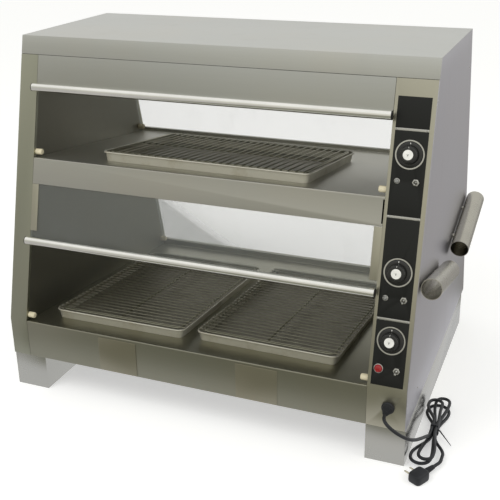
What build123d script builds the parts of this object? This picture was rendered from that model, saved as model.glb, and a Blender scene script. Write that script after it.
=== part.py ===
from build123d import *
import math
import os

os.makedirs("parts", exist_ok=True)

# Cabinet, in millimetres. The front faces -Y and the floor is Z = 0.
body_width = 1130.0
body_height = 972.0
kink_height = 211.0
foot_height = 102.0
foot_width = 100.0
foot_front_inset = 4.0
foot_rear_inset = 37.0
foot_wall = 2.0
top_depth = 443.0
face_lean = 14.19
hood_fascia = 48.0
left_post_width = 53.0
column_width = 99.0
post_return = 10.0
sheet = 1.5
bend_radius = 3.0
seam = 0.8
panel_gap = 0.5
move_gap = 0.3
bore_gap = 0.05

# Openings between the headers, the shelf and the base.
header_drop = 144.0
header_bottom = body_height - header_drop
header_flange = 15.0
ceiling_step = 18.0
ceiling_height = header_bottom + ceiling_step
screen_thickness = 4.0
screen_drop = 4.0
strip_width = 20.0
strip_rise = 26.0

# Shelf and base deck, both falling to the rear.
shelf_edge = 655.0
shelf_fascia_bottom = 586.0
shelf_fall = 7.5
shelf_lip_top = 588.0
shelf_lip_width = 9.0
shelf_skirt_bottom = 502.0
shelf_right_clearance = 4.0
base_edge = 210.0
base_fall = 6.05
base_lip_top = 142.0
base_lip_width = 14.0
reflector_depth = 35.0
reflector_width = 200.0
reflector_slant = 25.0
cover_thickness = 1.5
cover_bottom_gap = 1.0
cover_top_gap = 8.0
cover_width = 114.0
left_cover_place = 230.0
right_cover_place = 633.0

# Heat and light inside.
heater_diameter = 12.0
heater_cap_diameter = 19.0
heater_cap_length = 24.0
lamp_tube_diameter = 16.0
heater_spread = 50.0
base_rod_diameter = 8.0
base_rod_reach = 900.0
base_rod_pitch = 110.0
base_rod_bend = 40.0

# Bars along the front.
bar_diameter = 22.0
bar_wall = 1.5
bar_standoff = 16.0
upper_bar_rise = 11.0
upper_bar_height = header_bottom + upper_bar_rise
lower_bar_height = 434.0
screen_bottom = lower_bar_height - screen_drop
strip_bottom = lower_bar_height + strip_rise
plug_flange = 2.0
plug_depth = 12.0
pillar_diameter = 8.0
pillar_inset = 62.0

# Bumpers that the flaps rest on.
bumper_diameter = 16.0
bumper_length = 20.0
bumper_lift = 15.0
bumper_inset = 12.0
rear_bumper_lift = 14.0
bumper_chamfer = 2.0

# Flaps on the serving side.
flap_inset = 18.0
flap_side_gap = 2.0
pane_thickness = 4.0
rail_diameter = 16.0
rail_grip = 16.0
rail_grip_thickness = 9.0
pane_over_lip = 3.0
pin_diameter = 6.0
pin_reach = 22.0
pin_head_diameter = 11.0
pin_head_thickness = 2.5
pivot_step = 14.0
upper_pivot_height = header_bottom + pivot_step
lower_pivot_height = shelf_skirt_bottom - pivot_step
flap_top_gap = 4.0

# Trays and racks.
tray_length = 600.0
tray_width = 400.0
tray_height = 27.0
tray_wall = 1.0
tray_floor_inset = 9.0
tray_rim_inset = 4.0
tray_rim_diameter = 5.0
tray_corner = 24.0
rack_inset = 14.0
rack_corner = 14.0
rack_frame = 5.0
rack_wire = 3.0
rack_pitch = 12.5
rack_wires = 45
rack_wire_setback = 1.5
rack_weld = 0.6
lower_tray_gap = 35.0
lower_pair_shift = -17.5
upper_tray_shift = -5.0
upper_tray_back = -59.0
left_tray_back = -58.0
right_tray_back = -45.0
upper_tray_turn = -1.3
left_tray_turn = 90.5
right_tray_turn = 89.1

# Control column.
plate_inset = 8.0
plate_width = 79.0
plate_thickness = 1.5
divider_height = 6.0
divider_thickness = 2.0
title_top = 884.0
title_bottom = 813.5
upper_divider = 810.5
middle_divider = 612.0
lower_divider = 375.0
power_plate_bottom = 217.0
dial_inset = 48.0
toggle_inset = 68.0
lamp_inset = 24.0
upper_dial_height = 755.0
middle_dial_height = 486.0
lower_dial_height = 326.0
upper_switch_height = 694.0
middle_switch_height = 424.0
power_switch_height = 257.0
bezel_diameter = 69.0
bezel_width = 3.5
bezel_height = 3.0
knob_skirt_diameter = 60.0
knob_skirt_height = 3.0
knob_diameter = 44.0
knob_height = 21.0
knob_cap_diameter = 24.0
knob_cap_height = 3.0
knob_lift = 0.6
knob_recess_diameter = 18.0
knob_recess_depth = 6.0
shaft_diameter = 6.0
bushing_diameter = 10.0
bushing_reach = 3.0
control_size = 44.0
control_depth = 28.0
toggle_bushing = 12.0
toggle_bushing_reach = 6.0
toggle_nut = 17.0
toggle_nut_height = 2.5
toggle_body_width = 14.0
toggle_body_height = 28.0
toggle_body_depth = 20.0
toggle_barrel = 6.8
toggle_barrel_length = 4.8
toggle_bore = 9.0
lever_length = 17.0
lever_root = 3.4
lever_tip = 5.6
lever_rest_angle = 14.0
small_lamp_diameter = 10.0
small_lamp_bezel = 14.0
power_lamp_diameter = 19.0
power_lamp_bezel = 23.0
lamp_bezel_height = 2.0
lamp_body_depth = 18.0
screw_diameter = 4.0
screw_height = 1.4

# Tong tubes on the right side.
tube_diameter = 50.8
tube_wall = 1.5
tube_length = 268.0
tube_standoff = 2.6
tube_tilt = 13.0
tube_high_end = 337.0
tube_high_height = 452.0
tube_pad_diameter = 14.0
tube_pad_inset = 60.0

# Gland, cord, hank and plug.
gland_inset = 54.0
gland_height = 160.0
gland_diameter = 32.0
gland_neck = 16.0
gland_length = 32.0
cord_diameter = 8.5
hank_layer = 9.8
hank_pair = 10.2
hank_straight = 14.0
hank_side_gap = 44.0
hank_waist_depth = 250.0
tie_thickness = 1.2
tie_clearance = 0.3
tie_width = 9.0
plug_turn = 28.0
plug_turn_radius = 70.0
plug_pin_diameter = 4.8
plug_pin_length = 19.0
plug_pin_spacing = 19.0
plug_height = 24.0
plug_length = 46.0
plug_width = 36.0
relief_length = 36.0

lean = math.radians(face_lean)
cord_radius = cord_diameter / 2
tube_radius = tube_diameter / 2
front_out = 1 / math.cos(lean)


def half_depth(height):
    """Half of the cabinet's depth at a height, where its faces lean."""
    return top_depth / 2 + (body_height - height) * math.tan(lean)


# The origin lies on the floor, below the middle of the cabinet with its tubes and switches.
toggle_tip_out = plate_thickness + toggle_bushing_reach / 2 + lever_length * math.cos(math.radians(lever_rest_angle))
toggle_tip_drop = lever_length * math.sin(math.radians(lever_rest_angle))
toggle_reach = toggle_tip_out * math.cos(lean) + toggle_tip_drop * math.sin(lean)
front_reach = half_depth(power_switch_height) + toggle_reach + lever_tip / 2
mid_x = -(tube_standoff + tube_diameter) / 2
mid_y = (front_reach - half_depth(foot_height)) / 2
left = mid_x - body_width / 2
right = mid_x + body_width / 2
bay_left = left + left_post_width
bay_right = right - column_width
hood_bottom = body_height - hood_fascia
post_top = hood_bottom - seam
under_hood = body_height - sheet


def front_y(height):
    """Y of the front face, which leans above the kink and is upright below it."""
    return mid_y - half_depth(max(height, kink_height))


def rear_y(height):
    """Y of the rear face, which leans all the way down."""
    return mid_y + half_depth(height)


def face_plane(x, height, out=0.0):
    """Plane on the leaning front face, its Y axis up the face, moved outwards by out."""
    start = Plane(origin=(x, front_y(height), height), x_dir=(1, 0, 0), z_dir=(0, -math.cos(lean), math.sin(lean)))
    return start.offset(out)


def rear_point(height, out):
    """Y and Z of a point that stands out from the leaning rear face at a height."""
    return rear_y(height) + out * math.cos(lean), height + out * math.sin(lean)


def block(points, x_from, x_to, mode=Mode.ADD):
    """Extrude an outline of (y, z) corners from one x to another."""
    with BuildSketch(Plane.YZ.offset(x_from)) as profile:
        with BuildLine():
            Polyline(*points, close=True)
        make_face()
    extrude(profile.sketch, amount=x_to - x_from, mode=mode)


def folded_sheet(points, x_from, x_to, side, radius=0.0):
    """Fold a sheet along (y, z) corners, with its thickness on one side of that line."""
    with BuildSketch(Plane.YZ.offset(x_from)) as profile:
        with BuildLine():
            if radius > 0:
                FilletPolyline(*points, radius=radius)
            else:
                Polyline(*points)
            offset(amount=sheet, side=side)
        make_face()
    extrude(profile.sketch, amount=x_to - x_from)


def rod(start, end, diameter, mode=Mode.ADD):
    """A round rod from one point to another."""
    axis = Vector(*end) - Vector(*start)
    with BuildSketch(Plane(origin=start, z_dir=axis)) as profile:
        Circle(diameter / 2)
    extrude(profile.sketch, amount=axis.length, mode=mode)


class Deck:
    """A folded deck that falls to the rear from its front edge, with a lip along the rear."""

    def __init__(self, edge, fall, fascia_bottom, lip_top, lip_width, skirt_bottom):
        self.edge = edge
        self.fall = math.radians(fall)
        self.fascia_bottom = fascia_bottom
        self.lip_top = lip_top
        self.lip_width = lip_width
        self.skirt_bottom = skirt_bottom

    def height(self, y):
        """Height of the deck's upper face at y."""
        return self.edge - (y - front_y(self.edge)) * math.tan(self.fall)

    def plane(self, x, y, turn=0.0):
        """Plane on the deck whose X axis is turned about the deck's normal."""
        angle = math.radians(turn)
        along = Vector(0, math.cos(self.fall), -math.sin(self.fall))
        x_dir = Vector(1, 0, 0) * math.cos(angle) + along * math.sin(angle)
        normal = Vector(0, math.sin(self.fall), math.cos(self.fall))
        return Plane(origin=(x, y, self.height(y)), x_dir=x_dir, z_dir=normal)

    def fold_line(self):
        """Outer line of the sheet, from the bottom of the fascia over the deck and the lip."""
        lip_front = rear_y(self.lip_top) - self.lip_width
        line = [(front_y(self.fascia_bottom), self.fascia_bottom), (front_y(self.edge), self.edge)]
        line.append((lip_front, self.height(lip_front)))
        line.append((lip_front + 1, self.lip_top))
        line.append((rear_y(self.lip_top), self.lip_top))
        line.append((rear_y(self.skirt_bottom), self.skirt_bottom))
        return line


shelf = Deck(shelf_edge, shelf_fall, shelf_fascia_bottom, shelf_lip_top, shelf_lip_width, shelf_skirt_bottom)
base = Deck(base_edge, base_fall, foot_height, base_lip_top, base_lip_width, foot_height)


def side_outline():
    """Corners of a side wall in (y, z), stepped in at the top to fit inside the hood."""
    hood_step = (sheet + panel_gap) * front_out
    return [
        (front_y(foot_height), foot_height),
        (front_y(kink_height), kink_height),
        (front_y(post_top), post_top),
        (front_y(post_top) + hood_step, post_top),
        (front_y(under_hood) + hood_step, under_hood),
        (rear_y(under_hood) - hood_step, under_hood),
        (rear_y(post_top) - hood_step, post_top),
        (rear_y(post_top), post_top),
        (rear_y(foot_height), foot_height),
    ]


def liner_outline():
    """Corners of an inner liner in (y, z), which fills the wall between the post returns."""
    shift = (post_return + panel_gap) * front_out
    return [
        (front_y(foot_height) + post_return + panel_gap, foot_height + sheet),
        (front_y(kink_height) + shift, kink_height),
        (front_y(under_hood) + shift, under_hood),
        (rear_y(under_hood) - shift, under_hood),
        (rear_y(foot_height + sheet) - shift, foot_height + sheet),
    ]


def front_post(x_from, x_to):
    """Front face of a post or column, kinked above the base."""
    line = [
        (front_y(foot_height), foot_height),
        (front_y(kink_height), kink_height),
        (front_y(post_top), post_top),
    ]
    folded_sheet(line, x_from, x_to, Side.RIGHT)


def rear_post(x_from, x_to):
    """Rear face of a post."""
    folded_sheet([(rear_y(post_top), post_top), (rear_y(foot_height), foot_height)], x_from, x_to, Side.RIGHT)


def front_return(x_from, x_to):
    """Narrow flange turned in from the front post, standing on the bottom pan."""
    shift = post_return * front_out
    line = [
        (front_y(foot_height) + sheet, foot_height + sheet),
        (front_y(kink_height) + sheet * front_out, kink_height),
        (front_y(post_top) + sheet * front_out, post_top),
        (front_y(post_top) + shift, post_top),
        (front_y(kink_height) + shift, kink_height),
        (front_y(foot_height) + post_return, foot_height + sheet),
    ]
    block(line, x_from, x_to)


def rear_return(x_from, x_to):
    """Narrow flange turned in from the rear post, standing on the bottom pan."""
    shift = post_return * front_out
    pan_top = foot_height + sheet
    line = [
        (rear_y(pan_top) - sheet * front_out, pan_top),
        (rear_y(post_top) - sheet * front_out, post_top),
        (rear_y(post_top) - shift, post_top),
        (rear_y(pan_top) - shift, pan_top),
    ]
    block(line, x_from, x_to)


# Cabinet shell
with BuildPart() as top_cover:
    hood_line = [
        (front_y(hood_bottom), hood_bottom),
        (front_y(body_height), body_height),
        (rear_y(body_height), body_height),
        (rear_y(hood_bottom), hood_bottom),
    ]
    folded_sheet(hood_line, left, right, Side.RIGHT)
top_cover.part.label = "top_cover"
export_step(top_cover.part, "parts/top_cover.step")

with BuildPart() as left_side_panel:
    block(side_outline(), left, left + sheet)
    front_post(left, bay_left)
    rear_post(left, bay_left)
    front_return(bay_left - sheet, bay_left)
    rear_return(bay_left - sheet, bay_left)
left_side_panel.part.label = "left_side_panel"
export_step(left_side_panel.part, "parts/left_side_panel.step")

with BuildPart() as right_side_panel:
    block(side_outline(), right - sheet, right)
    rear_post(bay_right, right)
    rear_return(bay_right, bay_right + sheet)
right_side_panel.part.label = "right_side_panel"
export_step(right_side_panel.part, "parts/right_side_panel.step")

dial_x = bay_right + dial_inset
toggle_x = bay_right + toggle_inset
lamp_x = bay_right + lamp_inset
gland_x = bay_right + gland_inset
dial_heights = [upper_dial_height, middle_dial_height, lower_dial_height]
switch_heights = [upper_switch_height, middle_switch_height, power_switch_height]
hole_depth = plate_thickness + 2 * sheet


def panel_hole(x, height, diameter):
    """Round hole through the column's face and the plate on it."""
    with BuildSketch(face_plane(x, height, plate_thickness + panel_gap)) as profile:
        Circle(diameter / 2 + bore_gap)
    extrude(profile.sketch, amount=-hole_depth - panel_gap, mode=Mode.SUBTRACT)


def control_holes(low, high):
    """Holes for the controls whose heights lie between two edges of a plate."""
    for height in dial_heights:
        if low < height < high:
            panel_hole(dial_x, height, bushing_diameter)
    for height in switch_heights:
        if low < height < high:
            panel_hole(toggle_x, height, toggle_bushing)
            lamp = power_lamp_diameter if height == power_switch_height else small_lamp_diameter
            panel_hole(lamp_x, height, lamp)


with BuildPart() as control_column:
    front_post(bay_right, right - sheet)
    front_return(bay_right, bay_right + sheet)
    control_holes(foot_height, body_height)
    with BuildSketch(Plane.XZ.offset(-front_y(gland_height) - sheet)):
        with Locations((gland_x, gland_height)):
            Circle(gland_neck / 2 + bore_gap)
    extrude(amount=2 * sheet, mode=Mode.SUBTRACT)
control_column.part.label = "control_column"
export_step(control_column.part, "parts/control_column.step")


def flap_pivot(height):
    """Y and Z of a flap's pivot, behind the rear face."""
    return rear_point(height, -flap_inset)


pivot_heights = {"upper": upper_pivot_height, "lower": lower_pivot_height}


def liner(x_from, x_to):
    """Inner wall between the returns, with holes for the flap pins."""
    block(liner_outline(), x_from, x_to)
    for height in pivot_heights.values():
        pivot_y, pivot_z = flap_pivot(height)
        with BuildSketch(Plane.YZ.offset(x_from)) as profile:
            with Locations((pivot_y, pivot_z)):
                Circle(pin_diameter / 2 + bore_gap)
        extrude(profile.sketch, amount=x_to - x_from, mode=Mode.SUBTRACT)


with BuildPart() as left_inner_liner:
    liner(bay_left - sheet, bay_left)
left_inner_liner.part.label = "left_inner_liner"
export_step(left_inner_liner.part, "parts/left_inner_liner.step")

with BuildPart() as right_inner_liner:
    liner(bay_right, bay_right + sheet)
right_inner_liner.part.label = "right_inner_liner"
export_step(right_inner_liner.part, "parts/right_inner_liner.step")

header_left = bay_left + panel_gap
header_right = bay_right - seam
pillar_places = [bay_left + pillar_inset, bay_right - pillar_inset]

with BuildPart() as front_header:
    header_line = [
        (front_y(header_bottom) + header_flange, header_bottom),
        (front_y(header_bottom), header_bottom),
        (front_y(post_top), post_top),
    ]
    folded_sheet(header_line, header_left, header_right, Side.RIGHT)
front_header.part.label = "front_header"
export_step(front_header.part, "parts/front_header.step")

rear_header_bottom = flap_pivot(upper_pivot_height)[1] + rail_diameter / 2 + flap_top_gap
with BuildPart() as rear_header:
    header_line = [
        (rear_y(post_top), post_top),
        (rear_y(rear_header_bottom), rear_header_bottom),
        (rear_y(rear_header_bottom) - header_flange, rear_header_bottom),
    ]
    folded_sheet(header_line, header_left, header_right, Side.RIGHT)
rear_header.part.label = "rear_header"
export_step(rear_header.part, "parts/rear_header.step")

with BuildPart() as shelf_deck:
    folded_sheet(shelf.fold_line(), header_left, bay_right - panel_gap, Side.RIGHT, bend_radius)
    with BuildSketch(face_plane(bay_right, (shelf_edge + shelf_fascia_bottom) / 2, sheet)):
        Rectangle(2 * shelf_right_clearance, shelf_edge - shelf_fascia_bottom - 4 * bend_radius)
    extrude(amount=-2.5 * sheet, mode=Mode.SUBTRACT)
shelf_deck.part.label = "shelf_deck"
export_step(shelf_deck.part, "parts/shelf_deck.step")

with BuildPart() as base_deck:
    folded_sheet(base.fold_line(), header_left, bay_right - panel_gap, Side.RIGHT, bend_radius)
base_deck.part.label = "base_deck"
export_step(base_deck.part, "parts/base_deck.step")

with BuildPart() as bottom_pan:
    pan_front = front_y(foot_height) + sheet + bore_gap
    pan_rear = rear_y(foot_height + sheet) - sheet * front_out - bore_gap
    with BuildSketch(Plane.XY.offset(foot_height)):
        with Locations(((left + right) / 2, (pan_front + pan_rear) / 2)):
            Rectangle(body_width - 2 * sheet, pan_rear - pan_front)
    extrude(amount=sheet)
bottom_pan.part.label = "bottom_pan"
export_step(bottom_pan.part, "parts/bottom_pan.step")


def foot(x_from):
    """Box foot, open at the top where the body closes it."""
    foot_front = front_y(foot_height) + foot_front_inset
    foot_rear = rear_y(foot_height) - foot_rear_inset
    middle = (x_from + foot_width / 2, (foot_front + foot_rear) / 2)
    with BuildSketch() as profile:
        with Locations(middle):
            Rectangle(foot_width, foot_rear - foot_front)
    extrude(profile.sketch, amount=foot_height)
    with BuildSketch(Plane.XY.offset(foot_wall)) as profile:
        with Locations(middle):
            Rectangle(foot_width - 2 * foot_wall, foot_rear - foot_front - 2 * foot_wall)
    extrude(profile.sketch, amount=foot_height, mode=Mode.SUBTRACT)


with BuildPart() as left_foot:
    foot(left)
left_foot.part.label = "left_foot"
export_step(left_foot.part, "parts/left_foot.step")

with BuildPart() as right_foot:
    foot(right - foot_width)
right_foot.part.label = "right_foot"
export_step(right_foot.part, "parts/right_foot.step")

with BuildPart() as fascia_cover_plates:
    for place in [left_cover_place, right_cover_place]:
        cover_left = bay_left + place
        cover_bottom = foot_height + cover_bottom_gap
        cover_top = base_edge - cover_top_gap
        with BuildSketch(Plane.XZ.offset(-front_y(foot_height))):
            with Locations((cover_left + cover_width / 2, (cover_bottom + cover_top) / 2)):
                RectangleRounded(cover_width, cover_top - cover_bottom, 2)
        extrude(amount=cover_thickness)
fascia_cover_plates.part.label = "fascia_cover_plates"
export_step(fascia_cover_plates.part, "parts/fascia_cover_plates.step")


# Reflectors, heaters and lamps
def trough_plane(y, height, fall):
    """Plane across a reflector, its X axis to the rear along the sheet and its Y axis up."""
    return Plane(origin=(header_left, y, height), x_dir=(0, math.cos(fall), -math.sin(fall)), z_dir=(1, 0, 0))


def reflector(plane, length):
    """Ceiling sheet with one wide trough along its middle."""
    start = (length - reflector_width) / 2
    end = (length + reflector_width) / 2
    line = [
        (0, 0),
        (start, 0),
        (start + reflector_slant, reflector_depth),
        (end - reflector_slant, reflector_depth),
        (end, 0),
        (length, 0),
    ]
    with BuildSketch(plane) as profile:
        with BuildLine():
            Polyline(*line)
            offset(amount=sheet, side=Side.LEFT)
        make_face()
    extrude(profile.sketch, amount=bay_right - panel_gap - header_left)


upper_reflector_start = front_y(ceiling_height) + sheet * front_out + panel_gap
upper_reflector_length = rear_y(ceiling_height) - (sheet + 1.5) * front_out - upper_reflector_start
with BuildPart() as upper_reflector:
    reflector(trough_plane(upper_reflector_start, ceiling_height, 0), upper_reflector_length)
upper_reflector.part.label = "upper_reflector"
export_step(upper_reflector.part, "parts/upper_reflector.step")

shelf_reflector_start = front_y(shelf_fascia_bottom) + sheet * front_out + panel_gap
shelf_reflector_run = rear_y(shelf_skirt_bottom) - sheet * front_out - 3 - shelf_reflector_start
shelf_reflector_length = shelf_reflector_run / math.cos(shelf.fall)
with BuildPart() as shelf_reflector:
    reflector(trough_plane(shelf_reflector_start, shelf_fascia_bottom, shelf.fall), shelf_reflector_length)
shelf_reflector.part.label = "shelf_reflector"
export_step(shelf_reflector.part, "parts/shelf_reflector.step")

trough_axes = [
    (trough_plane(upper_reflector_start, ceiling_height, 0), upper_reflector_length),
    (trough_plane(shelf_reflector_start, shelf_fascia_bottom, shelf.fall), shelf_reflector_length),
]
bay_width = bay_right - bay_left


def trough_tube(plane, along, diameter):
    """Glass or quartz tube with a ceramic cap at each end, from liner to liner."""
    at_left = plane.offset(bay_left - header_left)
    with BuildSketch(at_left) as profile:
        with Locations((along, reflector_depth / 2)):
            Circle(diameter / 2)
    extrude(profile.sketch, amount=bay_width)
    for start in [at_left, at_left.offset(bay_width - heater_cap_length)]:
        with BuildSketch(start) as profile:
            with Locations((along, reflector_depth / 2)):
                Circle(heater_cap_diameter / 2)
        extrude(profile.sketch, amount=heater_cap_length)


with BuildPart() as heating_elements:
    for plane, length in trough_axes:
        trough_tube(plane, length / 2 - heater_spread, heater_diameter)
    rod_plane = base.plane(bay_right, mid_y, 0).offset(-sheet - base_rod_diameter / 2 - move_gap)
    rod_points = [
        (0, -1.5 * base_rod_pitch),
        (-base_rod_reach, -1.5 * base_rod_pitch),
        (-base_rod_reach, 1.5 * base_rod_pitch),
        (0, 1.5 * base_rod_pitch),
    ]
    with BuildLine(rod_plane) as rod_line:
        FilletPolyline(*rod_points, radius=base_rod_bend)
    with BuildSketch(Plane(origin=rod_line.wires()[0] @ 0, z_dir=rod_line.wires()[0] % 0)):
        Circle(base_rod_diameter / 2)
    sweep(path=rod_line.wires()[0])
heating_elements.part.label = "heating_elements"
export_step(heating_elements.part, "parts/heating_elements.step")

with BuildPart() as lamp_tubes:
    for plane, length in trough_axes:
        trough_tube(plane, length / 2 + heater_spread, lamp_tube_diameter)
lamp_tubes.part.label = "lamp_tubes"
export_step(lamp_tubes.part, "parts/lamp_tubes.step")


# Bars, clear screen and bumpers
def bar(height):
    """Polished tube along the front, drilled for its two pillars."""
    axis = face_plane(0, height, bar_standoff)
    middle = axis.origin
    with BuildSketch(Plane.YZ.offset(bay_left)) as profile:
        with Locations((middle.Y, middle.Z)):
            Circle(bar_diameter / 2)
            Circle(bar_diameter / 2 - bar_wall, mode=Mode.SUBTRACT)
    extrude(profile.sketch, amount=bay_width)
    for place in pillar_places:
        with BuildSketch(face_plane(place, height)) as profile:
            Circle(pillar_diameter / 2 + bore_gap)
        extrude(profile.sketch, amount=bar_standoff, mode=Mode.SUBTRACT)


with BuildPart() as upper_bar:
    bar(upper_bar_height)
upper_bar.part.label = "upper_bar"
export_step(upper_bar.part, "parts/upper_bar.step")

with BuildPart() as lower_bar:
    bar(lower_bar_height)
lower_bar.part.label = "lower_bar"
export_step(lower_bar.part, "parts/lower_bar.step")

with BuildPart() as bar_end_plugs:
    for height in [upper_bar_height, lower_bar_height]:
        middle = face_plane(0, height, bar_standoff).origin
        for x, inward in [(bay_left, 1), (bay_right, -1)]:
            with BuildSketch(Plane.YZ.offset(x)):
                with Locations((middle.Y, middle.Z)):
                    Circle(bar_diameter / 2)
            extrude(amount=-inward * plug_flange)
            with BuildSketch(Plane.YZ.offset(x)):
                with Locations((middle.Y, middle.Z)):
                    Circle(bar_diameter / 2 - bar_wall - bore_gap)
            extrude(amount=inward * plug_depth)
bar_end_plugs.part.label = "bar_end_plugs"
export_step(bar_end_plugs.part, "parts/bar_end_plugs.step")

with BuildPart() as bar_pillars:
    for place in pillar_places:
        for height, foot_out in [(upper_bar_height, 0.0), (lower_bar_height, -sheet)]:
            with BuildSketch(face_plane(place, height, foot_out)):
                Circle(pillar_diameter / 2)
            extrude(amount=bar_standoff - foot_out)
bar_pillars.part.label = "bar_pillars"
export_step(bar_pillars.part, "parts/bar_pillars.step")

strip_top = shelf_fascia_bottom - panel_gap
with BuildPart() as screen_strips:
    for x in [bay_left, bay_right - strip_width]:
        strip_line = [(front_y(strip_bottom), strip_bottom), (front_y(strip_top), strip_top)]
        folded_sheet(strip_line, x, x + strip_width, Side.RIGHT)
screen_strips.part.label = "screen_strips"
export_step(screen_strips.part, "parts/screen_strips.step")

with BuildPart() as front_screen:
    front = sheet * front_out
    back = (sheet + screen_thickness) * front_out
    screen_corners = [
        (front_y(screen_bottom) + front, screen_bottom),
        (front_y(strip_top) + front, strip_top),
        (front_y(strip_top) + back, strip_top),
        (front_y(screen_bottom) + back, screen_bottom),
    ]
    block(screen_corners, bay_left + panel_gap, bay_right - panel_gap)
front_screen.part.label = "front_screen"
export_step(front_screen.part, "parts/front_screen.step")


def bumper_spots():
    """Y and Z of the four bumpers on one side: front and rear of each deck."""
    spots = []
    for deck in [shelf, base]:
        front_spot = front_y(deck.edge + bumper_lift) + bumper_inset * front_out
        spots.append((front_spot, deck.height(front_spot) + bumper_lift))
        inset = flap_inset + pane_thickness / 2 + move_gap + bumper_diameter / 2
        spots.append(rear_point(deck.lip_top + rear_bumper_lift, -inset))
    return spots


with BuildPart() as door_bumpers:
    for x, inward in [(bay_left, 1), (bay_right, -1)]:
        for spot in bumper_spots():
            with BuildSketch(Plane.YZ.offset(x)):
                with Locations(spot):
                    Circle(bumper_diameter / 2)
            extrude(amount=inward * bumper_length)
    bumper_ends = door_bumpers.edges().filter_by(GeomType.CIRCLE)
    inner_ends = [edge for edge in bumper_ends if bay_left + 1 < edge.center().X < bay_right - 1]
    chamfer(inner_ends, length=bumper_chamfer)
door_bumpers.part.label = "door_bumpers"
export_step(door_bumpers.part, "parts/door_bumpers.step")


# Flaps on the serving side
def flap_frame(height):
    """Plane at a flap's pivot, its X axis down the flap and its Y axis outwards."""
    pivot_y, pivot_z = flap_pivot(height)
    down = (0, math.sin(lean), -math.cos(lean))
    return Plane(origin=(bay_left + flap_side_gap, pivot_y, pivot_z), x_dir=down, z_dir=(1, 0, 0))


flap_width = bay_width - 2 * flap_side_gap
pane_top = rail_diameter / 2 + 1


def flap_rail(height):
    """Hinge rail with a bore at each end for its pin and a slot for the pane."""
    frame = flap_frame(height)
    with BuildSketch(frame) as profile:
        Circle(rail_diameter / 2)
        with Locations((rail_grip / 2 + 2, 0)):
            Rectangle(rail_grip + 4, rail_grip_thickness)
        with Locations((pane_top + rail_grip, 0)):
            Rectangle(2 * rail_grip, pane_thickness + 2 * bore_gap, mode=Mode.SUBTRACT)
    extrude(profile.sketch, amount=flap_width)
    for start, into in [(frame, 1), (frame.offset(flap_width), -1)]:
        with BuildSketch(start) as profile:
            Circle(pin_diameter / 2 + bore_gap)
        extrude(profile.sketch, amount=into * pin_reach, mode=Mode.SUBTRACT)


def flap_pane(height, lip_top):
    """Clear pane from the slot down to just above the lip."""
    pivot_z = flap_pivot(height)[1]
    drop = (pivot_z - lip_top - pane_over_lip) / math.cos(lean)
    with BuildSketch(flap_frame(height)) as profile:
        with Locations(((pane_top + drop) / 2, 0)):
            Rectangle(drop - pane_top, pane_thickness)
    extrude(profile.sketch, amount=flap_width)


with BuildPart() as upper_flap_rail:
    flap_rail(upper_pivot_height)
upper_flap_rail.part.label = "upper_flap_rail"
export_step(upper_flap_rail.part, "parts/upper_flap_rail.step")

with BuildPart() as lower_flap_rail:
    flap_rail(lower_pivot_height)
lower_flap_rail.part.label = "lower_flap_rail"
export_step(lower_flap_rail.part, "parts/lower_flap_rail.step")

with BuildPart() as upper_flap_pane:
    flap_pane(upper_pivot_height, shelf_lip_top)
upper_flap_pane.part.label = "upper_flap_pane"
export_step(upper_flap_pane.part, "parts/upper_flap_pane.step")

with BuildPart() as lower_flap_pane:
    flap_pane(lower_pivot_height, base_lip_top)
lower_flap_pane.part.label = "lower_flap_pane"
export_step(lower_flap_pane.part, "parts/lower_flap_pane.step")

with BuildPart() as flap_pivot_pins:
    for height in pivot_heights.values():
        pivot_y, pivot_z = flap_pivot(height)
        for x, inward in [(bay_left - sheet, 1), (bay_right + sheet, -1)]:
            with BuildSketch(Plane.YZ.offset(x)):
                with Locations((pivot_y, pivot_z)):
                    Circle(pin_diameter / 2)
            extrude(amount=inward * (sheet + flap_side_gap + pin_reach - 1))
            with BuildSketch(Plane.YZ.offset(x)):
                with Locations((pivot_y, pivot_z)):
                    Circle(pin_head_diameter / 2)
            extrude(amount=-inward * pin_head_thickness)
flap_pivot_pins.part.label = "flap_pivot_pins"
export_step(flap_pivot_pins.part, "parts/flap_pivot_pins.step")


# Trays and racks: the long side of each lies along its plane's X axis.
def tray(plane):
    """Pressed tray with sloping walls and a rolled rim."""
    floor_corner = tray_corner - tray_floor_inset
    mouth_corner = tray_corner - tray_rim_inset
    for wall, mode in [(0.0, Mode.ADD), (tray_wall, Mode.SUBTRACT)]:
        floor_inset = 2 * (tray_floor_inset + wall)
        mouth_inset = 2 * (tray_rim_inset + wall)
        with BuildSketch(plane.offset(move_gap + wall)) as floor:
            RectangleRounded(tray_length - floor_inset, tray_width - floor_inset, floor_corner - wall)
        with BuildSketch(plane.offset(tray_height - tray_rim_diameter / 2)) as mouth:
            RectangleRounded(tray_length - mouth_inset, tray_width - mouth_inset, mouth_corner - wall)
        loft([floor.sketch, mouth.sketch], mode=mode)
    reach = tray_rim_diameter / 2
    rim_plane = plane.offset(tray_height - reach)
    with BuildSketch(rim_plane) as rim_outline:
        RectangleRounded(tray_length - 2 * reach, tray_width - 2 * reach, tray_corner - reach)
    rim_path = rim_outline.sketch.faces()[0].outer_wire()
    with BuildSketch(Plane(origin=rim_path @ 0, z_dir=rim_path % 0)) as rim_section:
        Circle(reach)
    sweep(rim_section.sketch, path=rim_path)


rack_wire_flat = rack_wire / 2 * math.cos(math.pi / 6)
rack_wire_middle = tray_height + move_gap + rack_wire_flat
rack_frame_top = tray_height + move_gap + rack_weld
rack_length = tray_length - 2 * rack_inset
rack_width = tray_width - 2 * rack_inset


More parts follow.
